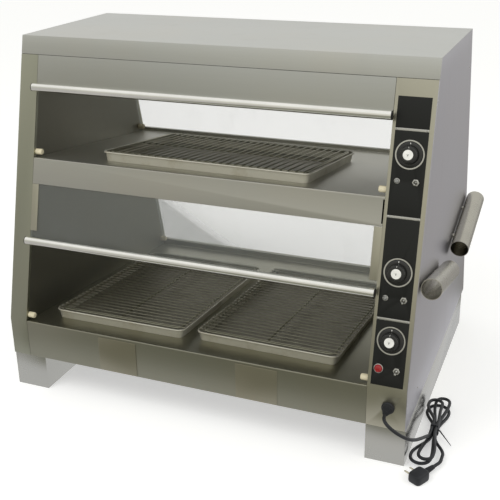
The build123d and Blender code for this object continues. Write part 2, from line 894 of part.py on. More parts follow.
def rack(plane):
    """Wire rack: cross wires that rest on the tray's rims, welded to a frame below them with a middle bar."""
    with BuildSketch(plane.offset(rack_frame_top - rack_frame)) as profile:
        RectangleRounded(rack_length, rack_width, rack_corner)
        RectangleRounded(
            rack_length - 2 * rack_frame, rack_width - 2 * rack_frame, rack_corner - rack_frame, mode=Mode.SUBTRACT
        )
        Rectangle(rack_length - rack_frame, rack_frame)
    extrude(profile.sketch, amount=rack_frame)
    wire_length = tray_width - 2 * rack_wire_setback
    wire_plane = plane.offset(rack_wire_middle)
    across = Plane(origin=wire_plane.from_local_coords((0, -wire_length / 2, 0)), x_dir=plane.x_dir, z_dir=plane.y_dir)
    with BuildSketch(across) as profile:
        with GridLocations(rack_pitch, 0, rack_wires, 1):
            RegularPolygon(rack_wire / 2, 6)
    extrude(profile.sketch, amount=wire_length)


bay_middle = (bay_left + bay_right) / 2
pair_middle = bay_middle + lower_pair_shift
pair_step = (tray_width + lower_tray_gap) / 2
tray_places = {
    "upper": shelf.plane(bay_middle + upper_tray_shift, mid_y + upper_tray_back, upper_tray_turn),
    "left": base.plane(pair_middle - pair_step, mid_y + left_tray_back, left_tray_turn),
    "right": base.plane(pair_middle + pair_step, mid_y + right_tray_back, right_tray_turn),
}

for name, plane in tray_places.items():
    with BuildPart() as one_tray:
        tray(plane)
    one_tray.part.label = f"{name}_tray"
    export_step(one_tray.part, f"parts/{name}_tray.step")
    with BuildPart() as one_rack:
        rack(plane)
    one_rack.part.label = f"{name}_rack"
    export_step(one_rack.part, f"parts/{name}_rack.step")


# Control column
def column_plate(low, high):
    """Black plate on the column's face between two heights, with its holes."""
    length = (high - low) / math.cos(lean)
    middle = face_plane(bay_right + plate_inset + plate_width / 2, (low + high) / 2)
    with BuildSketch(middle) as profile:
        Rectangle(plate_width, length)
    extrude(profile.sketch, amount=plate_thickness)
    control_holes(low, high)


divider_edge = divider_height / 2 + bore_gap
plates = {
    "title_plate": (title_bottom, title_top),
    "upper_control_plate": (middle_divider + divider_edge, upper_divider - divider_edge),
    "lower_control_plate": (lower_divider + divider_edge, middle_divider - divider_edge),
    "power_control_plate": (power_plate_bottom, lower_divider - divider_edge),
}
for name, (low, high) in plates.items():
    with BuildPart() as plate:
        column_plate(low, high)
    plate.part.label = name
    export_step(plate.part, f"parts/{name}.step")

divider_heights = [upper_divider, middle_divider, lower_divider]
with BuildPart() as divider_strips:
    for height in divider_heights:
        with BuildSketch(face_plane(bay_right + plate_inset + plate_width / 2, height)):
            Rectangle(plate_width, (divider_height - 4 * bore_gap) / math.cos(lean))
        extrude(amount=divider_thickness)
divider_strips.part.label = "divider_strips"
export_step(divider_strips.part, "parts/divider_strips.step")


def screw_head(plane):
    """Low round screw head standing on a plane."""
    with BuildSketch(plane) as profile:
        Circle(screw_diameter / 2)
    extrude(profile.sketch, amount=screw_height)


side_screws = [(-285, base_lip_top + 10), (207, body_height - 101), (-245, body_height - 95)]
with BuildPart() as panel_screws:
    for height in divider_heights:
        for x in [bay_right + plate_inset + screw_diameter, bay_right + plate_inset + plate_width - screw_diameter]:
            screw_head(face_plane(x, height, divider_thickness))
    for y, height in side_screws:
        screw_head(Plane(origin=(right, mid_y + y, height), x_dir=(0, 1, 0), z_dir=(1, 0, 0)))
panel_screws.part.label = "panel_screws"
export_step(panel_screws.part, "parts/panel_screws.step")


def ring(plane, outer, inner, height):
    """Flat ring with a softened outer edge."""
    with BuildSketch(plane) as profile:
        Circle(outer / 2)
        Circle(inner / 2, mode=Mode.SUBTRACT)
    extrude(profile.sketch, amount=height)


with BuildPart() as panel_bezels:
    for height in dial_heights:
        ring(face_plane(dial_x, height, plate_thickness), bezel_diameter, bezel_diameter - 2 * bezel_width, bezel_height)
    for height in switch_heights:
        lens, rim = small_lamp_diameter, small_lamp_bezel
        if height == power_switch_height:
            lens, rim = power_lamp_diameter, power_lamp_bezel
        ring(face_plane(lamp_x, height, plate_thickness), rim, lens + 2 * bore_gap, lamp_bezel_height)
panel_bezels.part.label = "panel_bezels"
export_step(panel_bezels.part, "parts/panel_bezels.step")


def lamp_lens(height, diameter):
    """Lamp with its body behind the panel and a domed lens in front."""
    with BuildSketch(face_plane(lamp_x, height, -sheet - lamp_body_depth)) as profile:
        Circle(diameter / 2 - bore_gap)
    extrude(profile.sketch, amount=lamp_body_depth + sheet + plate_thickness + lamp_bezel_height)
    dome = face_plane(lamp_x, height, plate_thickness + lamp_bezel_height)
    with BuildSketch(dome) as profile:
        Circle(diameter / 2 - bore_gap)
    extrude(profile.sketch, amount=diameter / 5, taper=35)


with BuildPart() as indicator_lamps:
    for height in [upper_switch_height, middle_switch_height]:
        lamp_lens(height, small_lamp_diameter)
indicator_lamps.part.label = "indicator_lamps"
export_step(indicator_lamps.part, "parts/indicator_lamps.step")

with BuildPart() as power_lamp:
    lamp_lens(power_switch_height, power_lamp_diameter)
power_lamp.part.label = "power_lamp"
export_step(power_lamp.part, "parts/power_lamp.step")

with BuildPart() as heat_controls:
    for height in dial_heights:
        back = face_plane(dial_x, height, -sheet)
        with BuildSketch(back):
            RectangleRounded(control_size, control_size, 5)
        extrude(amount=-control_depth)
        with BuildSketch(back):
            Circle(bushing_diameter / 2)
        extrude(amount=sheet + plate_thickness + bushing_reach)
        with BuildSketch(face_plane(dial_x, height, plate_thickness + bushing_reach)):
            Circle(shaft_diameter / 2 + bore_gap)
        extrude(amount=-(plate_thickness + bushing_reach + sheet + control_depth - 4), mode=Mode.SUBTRACT)
heat_controls.part.label = "heat_controls"
export_step(heat_controls.part, "parts/heat_controls.step")


def knob(height):
    """Round knob on its shaft: skirt, tapered grip and a flat cap, turned about the panel's normal."""
    foot_plane = face_plane(dial_x, height, plate_thickness + knob_lift)
    side = Plane(origin=foot_plane.origin, x_dir=foot_plane.x_dir, z_dir=-foot_plane.y_dir)
    cap_top = knob_height + knob_cap_height
    outline = [
        (0, 0),
        (knob_skirt_diameter / 2, 0),
        (knob_skirt_diameter / 2, knob_skirt_height - 1),
        (knob_skirt_diameter / 2 - 1, knob_skirt_height),
        (knob_diameter / 2 + 1, knob_skirt_height),
        (knob_diameter / 2 - 3, knob_height),
        (knob_cap_diameter / 2, knob_height),
        (knob_cap_diameter / 2, cap_top),
        (0, cap_top),
    ]
    with BuildSketch(side) as profile:
        with BuildLine():
            Polyline(*outline, close=True)
        make_face()
    revolve(profile.sketch, axis=Axis(foot_plane.origin, foot_plane.z_dir))
    with BuildSketch(foot_plane) as profile:
        Circle(knob_recess_diameter / 2)
    extrude(profile.sketch, amount=knob_recess_depth, mode=Mode.SUBTRACT)
    with BuildSketch(foot_plane.offset(knob_recess_depth)) as profile:
        Circle(shaft_diameter / 2)
    extrude(profile.sketch, amount=-(knob_recess_depth + knob_lift + plate_thickness + sheet + control_depth - 6))


knob_names = {"upper_knob": upper_dial_height, "lower_knob": middle_dial_height, "base_knob": lower_dial_height}
for name, height in knob_names.items():
    with BuildPart() as one_knob:
        knob(height)
    one_knob.part.label = name
    export_step(one_knob.part, f"parts/{name}.step")

pivot_out = plate_thickness + toggle_bushing_reach / 2
with BuildPart() as toggle_switches:
    for height in switch_heights:
        with BuildSketch(face_plane(toggle_x, height, -sheet)):
            RectangleRounded(toggle_body_width, toggle_body_height, 1.5)
        extrude(amount=-toggle_body_depth)
        with BuildSketch(face_plane(toggle_x, height, -sheet)):
            Circle(toggle_bushing / 2)
        extrude(amount=sheet + plate_thickness + toggle_bushing_reach)
        with BuildSketch(face_plane(toggle_x, height, plate_thickness)):
            RegularPolygon(toggle_nut / 2, 6)
        extrude(amount=toggle_nut_height)
        with BuildSketch(face_plane(toggle_x, height, plate_thickness + toggle_bushing_reach)):
            Circle(toggle_bore / 2)
        extrude(amount=-(toggle_bushing_reach / 2 + toggle_barrel / 2 + move_gap), mode=Mode.SUBTRACT)
toggle_switches.part.label = "toggle_switches"
export_step(toggle_switches.part, "parts/toggle_switches.step")


def toggle_lever(height):
    """Bat-shaped lever on a small barrel that turns across the panel, pointing down at rest."""
    pivot = face_plane(toggle_x, height, pivot_out)
    tilt = math.radians(lever_rest_angle)
    axis = pivot.z_dir * math.cos(tilt) - pivot.y_dir * math.sin(tilt)
    side = Plane(origin=pivot.origin, x_dir=pivot.x_dir, z_dir=axis.cross(pivot.x_dir) * -1)
    outline = [
        (0, 0),
        (lever_root / 2, 0),
        (lever_tip / 2, lever_length - lever_tip / 2),
        (lever_tip / 3, lever_length - lever_tip / 8),
        (lever_tip / 6, lever_length),
        (0, lever_length),
    ]
    with BuildSketch(side) as profile:
        with BuildLine():
            Polyline(*outline, close=True)
        make_face()
    revolve(profile.sketch, axis=Axis(pivot.origin, axis))
    barrel_end = Vector(*pivot.origin) - pivot.x_dir * (toggle_barrel_length / 2)
    with BuildSketch(Plane(origin=barrel_end, z_dir=pivot.x_dir)) as profile:
        Circle(toggle_barrel / 2)
    extrude(profile.sketch, amount=toggle_barrel_length)


lever_names = {
    "upper_light_lever": upper_switch_height,
    "lower_light_lever": middle_switch_height,
    "power_lever": power_switch_height,
}
for name, height in lever_names.items():
    with BuildPart() as one_lever:
        toggle_lever(height)
    one_lever.part.label = name
    export_step(one_lever.part, f"parts/{name}.step")


# Tong tubes
def tong_tube(rearward):
    """Open tube beside the right wall, high at its outer end, on two welded pads."""
    tilt = math.radians(tube_tilt)
    high = Vector(right + tube_standoff + tube_radius, mid_y + rearward * tube_high_end, tube_high_height)
    along = Vector(0, -rearward * math.cos(tilt), -math.sin(tilt))
    with BuildSketch(Plane(origin=high, x_dir=(1, 0, 0), z_dir=along)) as profile:
        Circle(tube_radius)
    extrude(profile.sketch, amount=tube_length)
    for distance in [tube_pad_inset, tube_length - tube_pad_inset]:
        spot = high + along * distance
        with BuildSketch(Plane(origin=(right, spot.Y, spot.Z), x_dir=along, z_dir=(1, 0, 0))) as profile:
            Circle(tube_pad_diameter / 2)
        extrude(profile.sketch, amount=tube_standoff + 2 * tube_wall)
    with BuildSketch(Plane(origin=high, x_dir=(1, 0, 0), z_dir=along)) as profile:
        Circle(tube_radius - tube_wall)
    extrude(profile.sketch, amount=tube_length, mode=Mode.SUBTRACT)


with BuildPart() as front_tong_tube:
    tong_tube(-1)
front_tong_tube.part.label = "front_tong_tube"
export_step(front_tong_tube.part, "parts/front_tong_tube.step")

with BuildPart() as rear_tong_tube:
    tong_tube(1)
rear_tong_tube.part.label = "rear_tong_tube"
export_step(rear_tong_tube.part, "parts/rear_tong_tube.step")


# Cord: gland, free lead, tied hank and plug
gland_face = Plane(origin=(gland_x, front_y(gland_height), gland_height), x_dir=(1, 0, 0), z_dir=(0, -1, 0))
with BuildPart() as cord_gland:
    profile = [
        (0, -sheet - 8),
        (gland_neck / 2, -sheet - 8),
        (gland_neck / 2, 0),
        (gland_diameter / 2, 0),
        (gland_diameter / 2, 5),
        (gland_diameter / 2 - 3, 12),
        (gland_diameter / 2 - 6, 20),
        (cord_radius + 3, gland_length - 2),
        (cord_radius + 1.5, gland_length),
        (0, gland_length),
    ]
    with BuildSketch(Plane(origin=gland_face.origin, x_dir=(1, 0, 0), z_dir=(0, 0, -1))):
        with BuildLine():
            Polyline(*profile, close=True)
        make_face()
    revolve(axis=Axis(gland_face.origin, gland_face.z_dir))
cord_gland.part.label = "cord_gland"
export_step(cord_gland.part, "parts/cord_gland.step")

hank_x = right + hank_side_gap
waist_y = mid_y - hank_waist_depth
floor_layer = cord_radius + tie_thickness + tie_clearance
up_x = hank_x - hank_pair / 2
down_x = hank_x + hank_pair / 2


def layer_height(layer):
    """Height of the middle line of one layer of the hank."""
    return floor_layer + layer * hank_layer


def run(start, end):
    """Two equal arcs from start to end, both ends along Y, in the plane that holds them."""
    start = Vector(*start)
    end = Vector(*end)
    length = end.Y - start.Y
    step = Vector(end.X - start.X, 0, end.Z - start.Z)
    size = step.length
    radius = (length**2 + size**2) / (4 * size)
    half = math.asin(abs(length) / 2 / radius) / 2
    aside = step.normalized()
    along = Vector(0, math.copysign(1, length), 0)
    middle = (start + end) * 0.5
    first = start + along * (radius * math.sin(half)) + aside * (radius * (1 - math.cos(half)))
    second = end - along * (radius * math.sin(half)) - aside * (radius * (1 - math.cos(half)))
    ThreePointArc(start, first, middle)
    ThreePointArc(middle, second, end)


def cap(middle_x, y, radius, height, outward):
    """Half turn at the end of a loop, clockwise seen from above."""
    start = (middle_x - outward * radius, y, height)
    top = (middle_x, y + outward * radius, height)
    end = (middle_x + outward * radius, y, height)
    ThreePointArc(start, top, end)


far_loops = [(-17.0, 108.0, 17.0), (-2.0, 136.0, 17.0), (-8.0, 103.0, 27.0)]
near_loops = [(2.0, 131.0, 17.0), (-10.0, 132.0, 24.0)]
far_side = waist_y + hank_straight / 2
near_side = waist_y - hank_straight / 2
hank_start = (up_x, near_side - 18, layer_height(2))
exit_point = (hank_x + 39, waist_y - 112, plug_height / 2)

with BuildPart() as cord_hank:
    with BuildLine() as hank_line:
        Line(hank_start, (up_x, near_side, layer_height(2)))
        for turn in range(3):
            level = layer_height(2 - turn)
            loop_x, loop_y, loop_radius = far_loops[turn]
            loop_x = hank_x + loop_x
            Line((up_x, near_side, level), (up_x, far_side, level))
            run((up_x, far_side, level), (loop_x - loop_radius, waist_y + loop_y, level))
            cap(loop_x, waist_y + loop_y, loop_radius, level, 1)
            run((loop_x + loop_radius, waist_y + loop_y, level), (down_x, far_side, level))
            Line((down_x, far_side, level), (down_x, near_side, level))
            if turn < 2:
                loop_x, loop_y, loop_radius = near_loops[turn]
                loop_x = hank_x + loop_x
                run((down_x, near_side, level), (loop_x + loop_radius, waist_y - loop_y, level))
                cap(loop_x, waist_y - loop_y, loop_radius, level, -1)
                below = layer_height(1 - turn)
                run((loop_x - loop_radius, waist_y - loop_y, level), (up_x, near_side, below))
        run((down_x, near_side, layer_height(0)), exit_point)
        bend = math.radians(plug_turn)
        half_bend = (
            exit_point[0] - plug_turn_radius * (1 - math.cos(bend / 2)),
            exit_point[1] - plug_turn_radius * math.sin(bend / 2),
            exit_point[2],
        )
        bend_end = (
            exit_point[0] - plug_turn_radius * (1 - math.cos(bend)),
            exit_point[1] - plug_turn_radius * math.sin(bend),
            exit_point[2],
        )
        ThreePointArc(exit_point, half_bend, bend_end)
        plug_heading = Vector(-math.sin(bend), -math.cos(bend), 0)
        hank_end = Vector(*bend_end) + plug_heading * cord_diameter
        Line(bend_end, hank_end)
    hank_path = hank_line.wires()[0]
    with BuildSketch(Plane(origin=hank_start, z_dir=(0, 1, 0))):
        Circle(cord_radius)
    sweep(path=hank_path)
cord_hank.part.label = "cord_hank"
export_step(cord_hank.part, "parts/cord_hank.step")


def least_gap(path, spacing=3.0):
    """Least distance between surfaces of a tube and itself, on points along its middle line."""
    count = int(path.length / spacing)
    points = [path.position_at(index / count) for index in range(count + 1)]
    apart = int(4 * cord_diameter / spacing)
    nearest = min(
        (points[a] - points[b]).length for a in range(count + 1) for b in range(a + apart, count + 1)
    )
    return nearest - cord_diameter


print("hank length", round(hank_path.length, 1), "least gap", round(least_gap(hank_path), 2))

lead_start = Vector(gland_x, front_y(gland_height) - gland_length, gland_height)
lead_points = [
    (lead_start.X, lead_start.Y, lead_start.Z),
    (lead_start.X, lead_start.Y - 14, lead_start.Z),
    (lead_start.X + 7, lead_start.Y - 27, lead_start.Z - 4),
    (lead_start.X + 21, lead_start.Y - 34, lead_start.Z - 12),
    (right - 3, lead_start.Y - 31, lead_start.Z - 27),
    (right + 15, lead_start.Y - 11, lead_start.Z - 48),
    (right + 25, waist_y - 168, lead_start.Z - 73),
    (right + 32, waist_y - 120, 63),
    (right + 37, waist_y - 76, 42),
    (up_x, waist_y - 47, hank_start[2]),
    hank_start,
]


def bend_radii(points):
    """Largest radii that the runs of a route allow at its inner points."""
    radii = []
    for before, point, after in zip(points, points[1:], points[2:]):
        come = Vector(*point) - Vector(*before)
        leave = Vector(*after) - Vector(*point)
        turn = math.radians(come.get_angle(leave))
        radii.append(0.45 * min(come.length, leave.length) / math.tan(turn / 2))
    return radii


lead_radii = bend_radii(lead_points)
print("lead radii", [round(radius, 1) for radius in lead_radii])
with BuildPart() as cord_lead:
    with BuildLine() as lead_line:
        FilletPolyline(*lead_points, radius=lead_radii)
    lead_path = lead_line.wires()[0]
    with BuildSketch(Plane(origin=lead_path @ 0, z_dir=lead_path % 0)):
        Circle(cord_radius)
    sweep(path=lead_path)
cord_lead.part.label = "cord_lead"
export_step(cord_lead.part, "parts/cord_lead.step")
lead_volume = math.pi * cord_radius**2 * lead_path.length
print("lead length", round(lead_path.length, 1), "volume share", round(cord_lead.part.volume / lead_volume, 4))

with BuildPart() as cord_tie:
    inner_width = hank_pair + cord_diameter + 2 * tie_clearance
    inner_height = 2 * hank_layer + cord_diameter + 2 * tie_clearance
    tie_middle = layer_height(1)
    with BuildSketch(Plane.XZ.offset(-waist_y - tie_width / 2)):
        with Locations((hank_x, tie_middle)):
            RectangleRounded(inner_width + 2 * tie_thickness, inner_height + 2 * tie_thickness, cord_radius)
            RectangleRounded(inner_width, inner_height, cord_radius - tie_thickness, mode=Mode.SUBTRACT)
    extrude(amount=tie_width)
    tail_root = (hank_x + inner_width / 2 + 2.6, waist_y, tie_middle)
    tail_tip = (hank_x + 50, waist_y - 42, 5)
    tail_axis = Vector(*tail_tip) - Vector(*tail_root)
    with BuildSketch(Plane(origin=tail_root, z_dir=tail_axis)):
        Circle(2)
    with BuildSketch(Plane(origin=tail_tip, z_dir=tail_axis)):
        Circle(0.8)
    loft()
cord_tie.part.label = "cord_tie"
export_step(cord_tie.part, "parts/cord_tie.step")

pin_heading = Vector(plug_heading.Y, -plug_heading.X, 0)
relief_end = hank_end + plug_heading * relief_length
body_middle = relief_end + plug_heading * (plug_length / 2 - 4)
with BuildPart() as plug:
    with BuildSketch(Plane(origin=hank_end, z_dir=plug_heading)):
        Circle(cord_radius + 1.2)
    with BuildSketch(Plane(origin=relief_end, z_dir=plug_heading)):
        Circle(cord_radius + 4)
    loft()
    body_bottom = Plane(origin=(body_middle.X, body_middle.Y, 0), x_dir=plug_heading, z_dir=(0, 0, 1))
    with BuildSketch(body_bottom):
        RectangleRounded(plug_length, plug_width, 11)
    extrude(amount=plug_height)
    chamfer(plug.faces().sort_by(Axis.Z)[-1].edges(), length=3)
    for side in [-1, 1]:
        root = body_middle + pin_heading * (plug_width / 2 - 3) + plug_heading * (side * plug_pin_spacing / 2)
        rod(tuple(root), tuple(root + pin_heading * (plug_pin_length + 3)), plug_pin_diameter)
plug.part.label = "plug"
export_step(plug.part, "parts/plug.step")
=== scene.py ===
import math

import bmesh
import bpy
from mathutils import Matrix, Vector


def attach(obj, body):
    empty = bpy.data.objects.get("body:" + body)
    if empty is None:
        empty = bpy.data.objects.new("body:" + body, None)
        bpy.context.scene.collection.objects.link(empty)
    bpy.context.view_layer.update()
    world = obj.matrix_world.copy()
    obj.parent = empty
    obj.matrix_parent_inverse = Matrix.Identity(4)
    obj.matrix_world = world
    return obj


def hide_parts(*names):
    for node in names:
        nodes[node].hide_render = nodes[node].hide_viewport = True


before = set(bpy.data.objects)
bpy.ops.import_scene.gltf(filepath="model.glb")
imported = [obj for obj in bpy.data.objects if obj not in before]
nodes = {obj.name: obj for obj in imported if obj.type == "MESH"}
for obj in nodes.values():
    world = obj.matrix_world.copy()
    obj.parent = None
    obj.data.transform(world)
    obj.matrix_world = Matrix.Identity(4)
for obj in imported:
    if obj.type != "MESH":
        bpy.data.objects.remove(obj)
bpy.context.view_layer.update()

scene = bpy.context.scene

# The case, in metres and radians: the same driving dimensions as the part
MID_X = -0.0267
MID_Y = -0.0075148
WIDTH = 1.130
HEIGHT = 0.972
TOP_DEPTH = 0.443
LEAN = math.radians(14.19)
KINK = 0.211
LEFT_POST = 0.053
COLUMN = 0.099
PLATE_THICKNESS = 0.0015
LEFT = MID_X - WIDTH / 2
RIGHT = MID_X + WIDTH / 2
BAY_LEFT = LEFT + LEFT_POST
BAY_RIGHT = RIGHT - COLUMN
BAY_MIDDLE = (BAY_LEFT + BAY_RIGHT) / 2

# The controls: where each kind sits across the column, and the height of each one
DIAL_X = BAY_RIGHT + 0.048
TOGGLE_X = BAY_RIGHT + 0.068
LAMP_X = BAY_RIGHT + 0.024
DIALS = {"upper_knob": 0.755, "lower_knob": 0.486, "base_knob": 0.326}
SWITCHES = {"upper_light_lever": 0.694, "lower_light_lever": 0.424, "power_lever": 0.257}


def half_depth(height):
    """Half of the case's depth at a height, where its faces lean."""
    return TOP_DEPTH / 2 + (HEIGHT - height) * math.tan(LEAN)


def front_y(height):
    """Y of the front face at a height; below the kink it is upright."""
    return MID_Y - half_depth(max(height, KINK))


def frame_of(x_axis, y_axis, z_axis, origin):
    """Matrix of a frame from its three axes and its origin."""
    matrix = Matrix((x_axis, y_axis, z_axis)).transposed().to_4x4()
    matrix.translation = origin
    return matrix


def face_frame(x, height, out):
    """Frame on the leaning front: X along the width, Y up the face, Z outwards."""
    normal = Vector((0, -math.cos(LEAN), math.sin(LEAN)))
    up = Vector((0, math.sin(LEAN), math.cos(LEAN)))
    spot = Vector((x, front_y(height), height)) + normal * out
    return frame_of(Vector((1, 0, 0)), up, normal, spot)


# Camera, fitted to the straight edges of the case
camera_data = bpy.data.cameras.new("camera")
camera = bpy.data.objects.new("camera", camera_data)
scene.collection.objects.link(camera)
scene.camera = camera
camera_right = Vector((0.9288, 0.3702, -0.0145))
camera_up = Vector((-0.1194, 0.3361, 0.9342))
camera_back = Vector((0.3507, -0.8660, 0.3564))
camera_spot = Vector((0.8813, -2.2295, 1.3450))
camera.matrix_world = frame_of(camera_right, camera_up, camera_back, camera_spot)
camera_data.sensor_width = 36.0
camera_data.lens = 63.48
camera_data.shift_x = -0.0054
camera_data.shift_y = -0.0606
camera_data.clip_start = 0.05
camera_data.clip_end = 60.0


# Finishes
class Reading:
    """A value that changes over a surface; its operators add Math nodes."""

    def __init__(self, finish, socket):
        self.finish = finish
        self.socket = socket

    def joined(self, operation, first, second=0.0):
        """One Math node on one value or two."""
        settings = {"operation": operation}
        step = self.finish.add("ShaderNodeMath", settings, {0: first, 1: second})
        return Reading(self.finish, step.outputs[0])

    def __add__(self, other):
        return self.joined("ADD", self, other)

    __radd__ = __add__

    def __sub__(self, other):
        return self.joined("SUBTRACT", self, other)

    def __rsub__(self, other):
        return self.joined("SUBTRACT", other, self)

    def __mul__(self, other):
        return self.joined("MULTIPLY", self, other)

    __rmul__ = __mul__

    def __abs__(self):
        return self.joined("ABSOLUTE", self)

    def or_more(self, other):
        """The greater of two readings."""
        return self.joined("MAXIMUM", self, other)

    def above(self, low, high):
        """0 below low, 1 above high and a smooth step between them."""
        settings = {"interpolation_type": "SMOOTHSTEP"}
        values = {0: self, 1: low, 2: high, 3: 0.0, 4: 1.0}
        step = self.finish.add("ShaderNodeMapRange", settings, values)
        return Reading(self.finish, step.outputs[0])


class Finish:
    """The nodes of a material or of the world."""

    def __init__(self, owner):
        owner.use_nodes = True
        self.owner = owner
        self.tree = owner.node_tree
        self.tree.nodes.clear()
        self.coordinates = None

    def add(self, kind, settings=None, values=None):
        """One node: its settings first, then the values or links of its sockets."""
        made = self.tree.nodes.new(kind)
        for key, value in (settings or {}).items():
            setattr(made, key, value)
        for key, value in (values or {}).items():
            socket = made.inputs[key]
            if isinstance(value, Reading):
                value = value.socket
            if isinstance(value, bpy.types.NodeSocket):
                self.tree.links.new(value, socket)
            else:
                socket.default_value = value
        return made

    def place(self):
        """Object coordinates, in metres, fixed to the piece."""
        if self.coordinates is None:
            self.coordinates = self.add("ShaderNodeTexCoord").outputs["Object"]
        return self.coordinates

    def parts(self, direction):
        """The X, Y and Z of a direction or a place, as readings."""
        split = self.add("ShaderNodeSeparateXYZ", None, {0: direction})
        return [Reading(self, socket) for socket in split.outputs]

    def noise(self, scale, stretch=(1, 1, 1), detail=3.0, roughness=0.55):
        """Fractal noise, from 0 to 1, stretched along the axes."""
        mapped = self.add("ShaderNodeMapping", None, {"Vector": self.place(), "Scale": stretch})
        values = {"Vector": mapped.outputs[0], "Scale": scale, "Detail": detail}
        values["Roughness"] = roughness
        return Reading(self, self.add("ShaderNodeTexNoise", None, values).outputs[0])

    def mix(self, factor, first, second):
        """Two colours mixed by a factor."""
        settings = {"data_type": "RGBA"}
        values = {"Factor": factor, 6: first, 7: second}
        return self.add("ShaderNodeMix", settings, values).outputs[2]

    def bump(self, height, distance, strength):
        """Normal of a surface raised by height times distance."""
        values = {"Height": height, "Distance": distance, "Strength": strength}
        return self.add("ShaderNodeBump", None, values).outputs[0]

    def surface(self, **values):
        """The shader and the output; the names hold an underscore for each space."""
        named = {key.replace("_", " "): value for key, value in values.items()}
        shader = self.add("ShaderNodeBsdfPrincipled", None, named)
        self.add("ShaderNodeOutputMaterial", None, {0: shader.outputs[0]})
        return self.owner


def blank(name):
    """The empty finish of a new material."""
    return Finish(bpy.data.materials.new(name))


def tone(red, green, blue):
    """Screen colour, 0 to 255, as the linear colour that shaders take."""
    linear = [(part / 255) ** 2.2 for part in (red, green, blue)]
    return (*linear, 1.0)


def shaded(colour, *factors, lift=0.0):
    """A colour whose red, green and blue are multiplied, by one factor or by three."""
    factors = factors * 3 if len(factors) == 1 else factors
    return (*[min(1.0, part * factor + lift) for part, factor in zip(colour, factors)], 1.0)


GRAIN_LENGTHWISE = 0.012
GRAINS = {
    "x": (GRAIN_LENGTHWISE, 1.0, 1.0),
    "y": (1.0, GRAIN_LENGTHWISE, 1.0),
    "z": (1.0, 1.0, GRAIN_LENGTHWISE),
}


def brushed(name, colour, grain, rough, streaks=0.05, warm_reflection=0.3):
    """Sheet steel with a brushed grain along one axis, warm patches of painted reflection and
    rubbed places.
    """
    finish = blank(name)
    fine = finish.noise(2600.0, GRAINS[grain], detail=2.0)
    coarse = finish.noise(520.0, GRAINS[grain])
    cloud = finish.noise(3.2, detail=4.0)
    smear = finish.noise(14.0, (1, 1, 0.5), detail=4.0, roughness=0.62).above(0.52, 0.74)
    base = finish.mix(fine * 0.35 + coarse * 0.65, shaded(colour, 0.94), shaded(colour, 1.05))
    # Warm cloud patches: painted reflection, mixed into the colour.
    warm_reflection_tone = shaded(colour, 1.03, 0.985, 0.93)
    base = finish.mix(cloud.above(0.42, 0.68) * warm_reflection, base, warm_reflection_tone)
    roughness = rough - streaks / 2 + fine * streaks * 0.5 + coarse * streaks + smear * 0.05
    normal = finish.bump(fine * 0.6 + coarse * 0.4, 0.00006, 0.14)
    return finish.surface(Base_Color=base, Metallic=1.0, Roughness=roughness, Normal=normal)


def polished(name, colour, rough):
    """Bright round metal with faint drawing marks and cloudy places."""
    finish = blank(name)
    marks = finish.noise(900.0, GRAINS["x"], detail=2.0)
    cloud = finish.noise(11.0, detail=4.0)
    base = finish.mix(cloud.above(0.35, 0.7), shaded(colour, 0.93), colour)
    roughness = rough + marks * 0.02 + cloud.above(0.5, 0.75) * 0.04
    normal = finish.bump(marks, 0.00002, 0.08)
    return finish.surface(Base_Color=base, Metallic=1.0, Roughness=roughness, Normal=normal)


def pressed_aluminium(name, colour):
    """Thin pressed aluminium: blotches, fine scratches, and painted shade darkening the faces that
    look up.
    """
    finish = blank(name)
    blotch = finish.noise(19.0, detail=5.0, roughness=0.6)
    scratches = finish.noise(700.0, (1.0, 0.05, 1.0), detail=2.0)
    film = blotch.above(0.50, 0.72)
    base = finish.mix(film * 0.55, colour, shaded(colour, 0.80, 0.76, 0.66))
    # Painted shade: faces that look up, the trays' floors and rim tops, are darkened.
    facing = finish.parts(finish.add("ShaderNodeNewGeometry").outputs["Normal"])
    painted_shade_up = shaded(colour, 0.44, 0.43, 0.40)
    base = finish.mix(facing[2].above(0.90, 0.98), base, painted_shade_up)
    roughness = 0.40 + blotch * 0.10 + film * 0.08
    normal = finish.bump(blotch * 0.7 + scratches * 0.3, 0.0003, 0.2)
    return finish.surface(Base_Color=base, Metallic=0.62, Roughness=roughness, Normal=normal)


def moulded(name, colour, rough, coat=0.0):
    """Moulded plastic or rubber with a fine grained skin."""
    finish = blank(name)
    grain = finish.noise(2600.0, detail=2.0)
    cloud = finish.noise(60.0)
    light = shaded(colour, 1.12, lift=0.0006)
    base = finish.mix(cloud.above(0.4, 0.65), colour, light)
    roughness = rough + grain * 0.06 + cloud.above(0.45, 0.7) * 0.05
    normal = finish.bump(grain, 0.00010, 0.25)
    return finish.surface(
        Base_Color=base, Roughness=roughness, Normal=normal, Coat_Weight=coat,
        Coat_Roughness=0.08,
    )


def painted_plate(name, colour):
    """Black anodised plate with a satin sheen, dust and rub marks."""
    finish = blank(name)
    dust = finish.noise(260.0, detail=4.0).above(0.62, 0.80)
    rub = finish.noise(26.0, (1, 0.4, 1), detail=4.0)
    dust_grey = (0.06, 0.06, 0.058, 1.0)
    base = finish.mix(dust * 0.35, colour, dust_grey)
    roughness = 0.34 + rub * 0.14
    normal = finish.bump(finish.noise(1800.0), 0.00006, 0.2)
    return finish.surface(Base_Color=base, Metallic=0.35, Roughness=roughness, Normal=normal)


def clear_sheet(name, colour, veil):
    """Clear pane: less see-through at a glancing view, with faint wipe marks."""
    finish = blank(name)
    wipes = finish.noise(9.0, (1, 1, 0.4), detail=4.0, roughness=0.6).above(0.5, 0.78)
    glance = Reading(finish, finish.add("ShaderNodeFresnel", None, {"IOR": 1.45}).outputs[0])
    alpha = veil + glance * 0.55 + wipes * 0.03
    return finish.surface(Base_Color=colour, Roughness=0.04 + wipes * 0.05, Alpha=alpha)


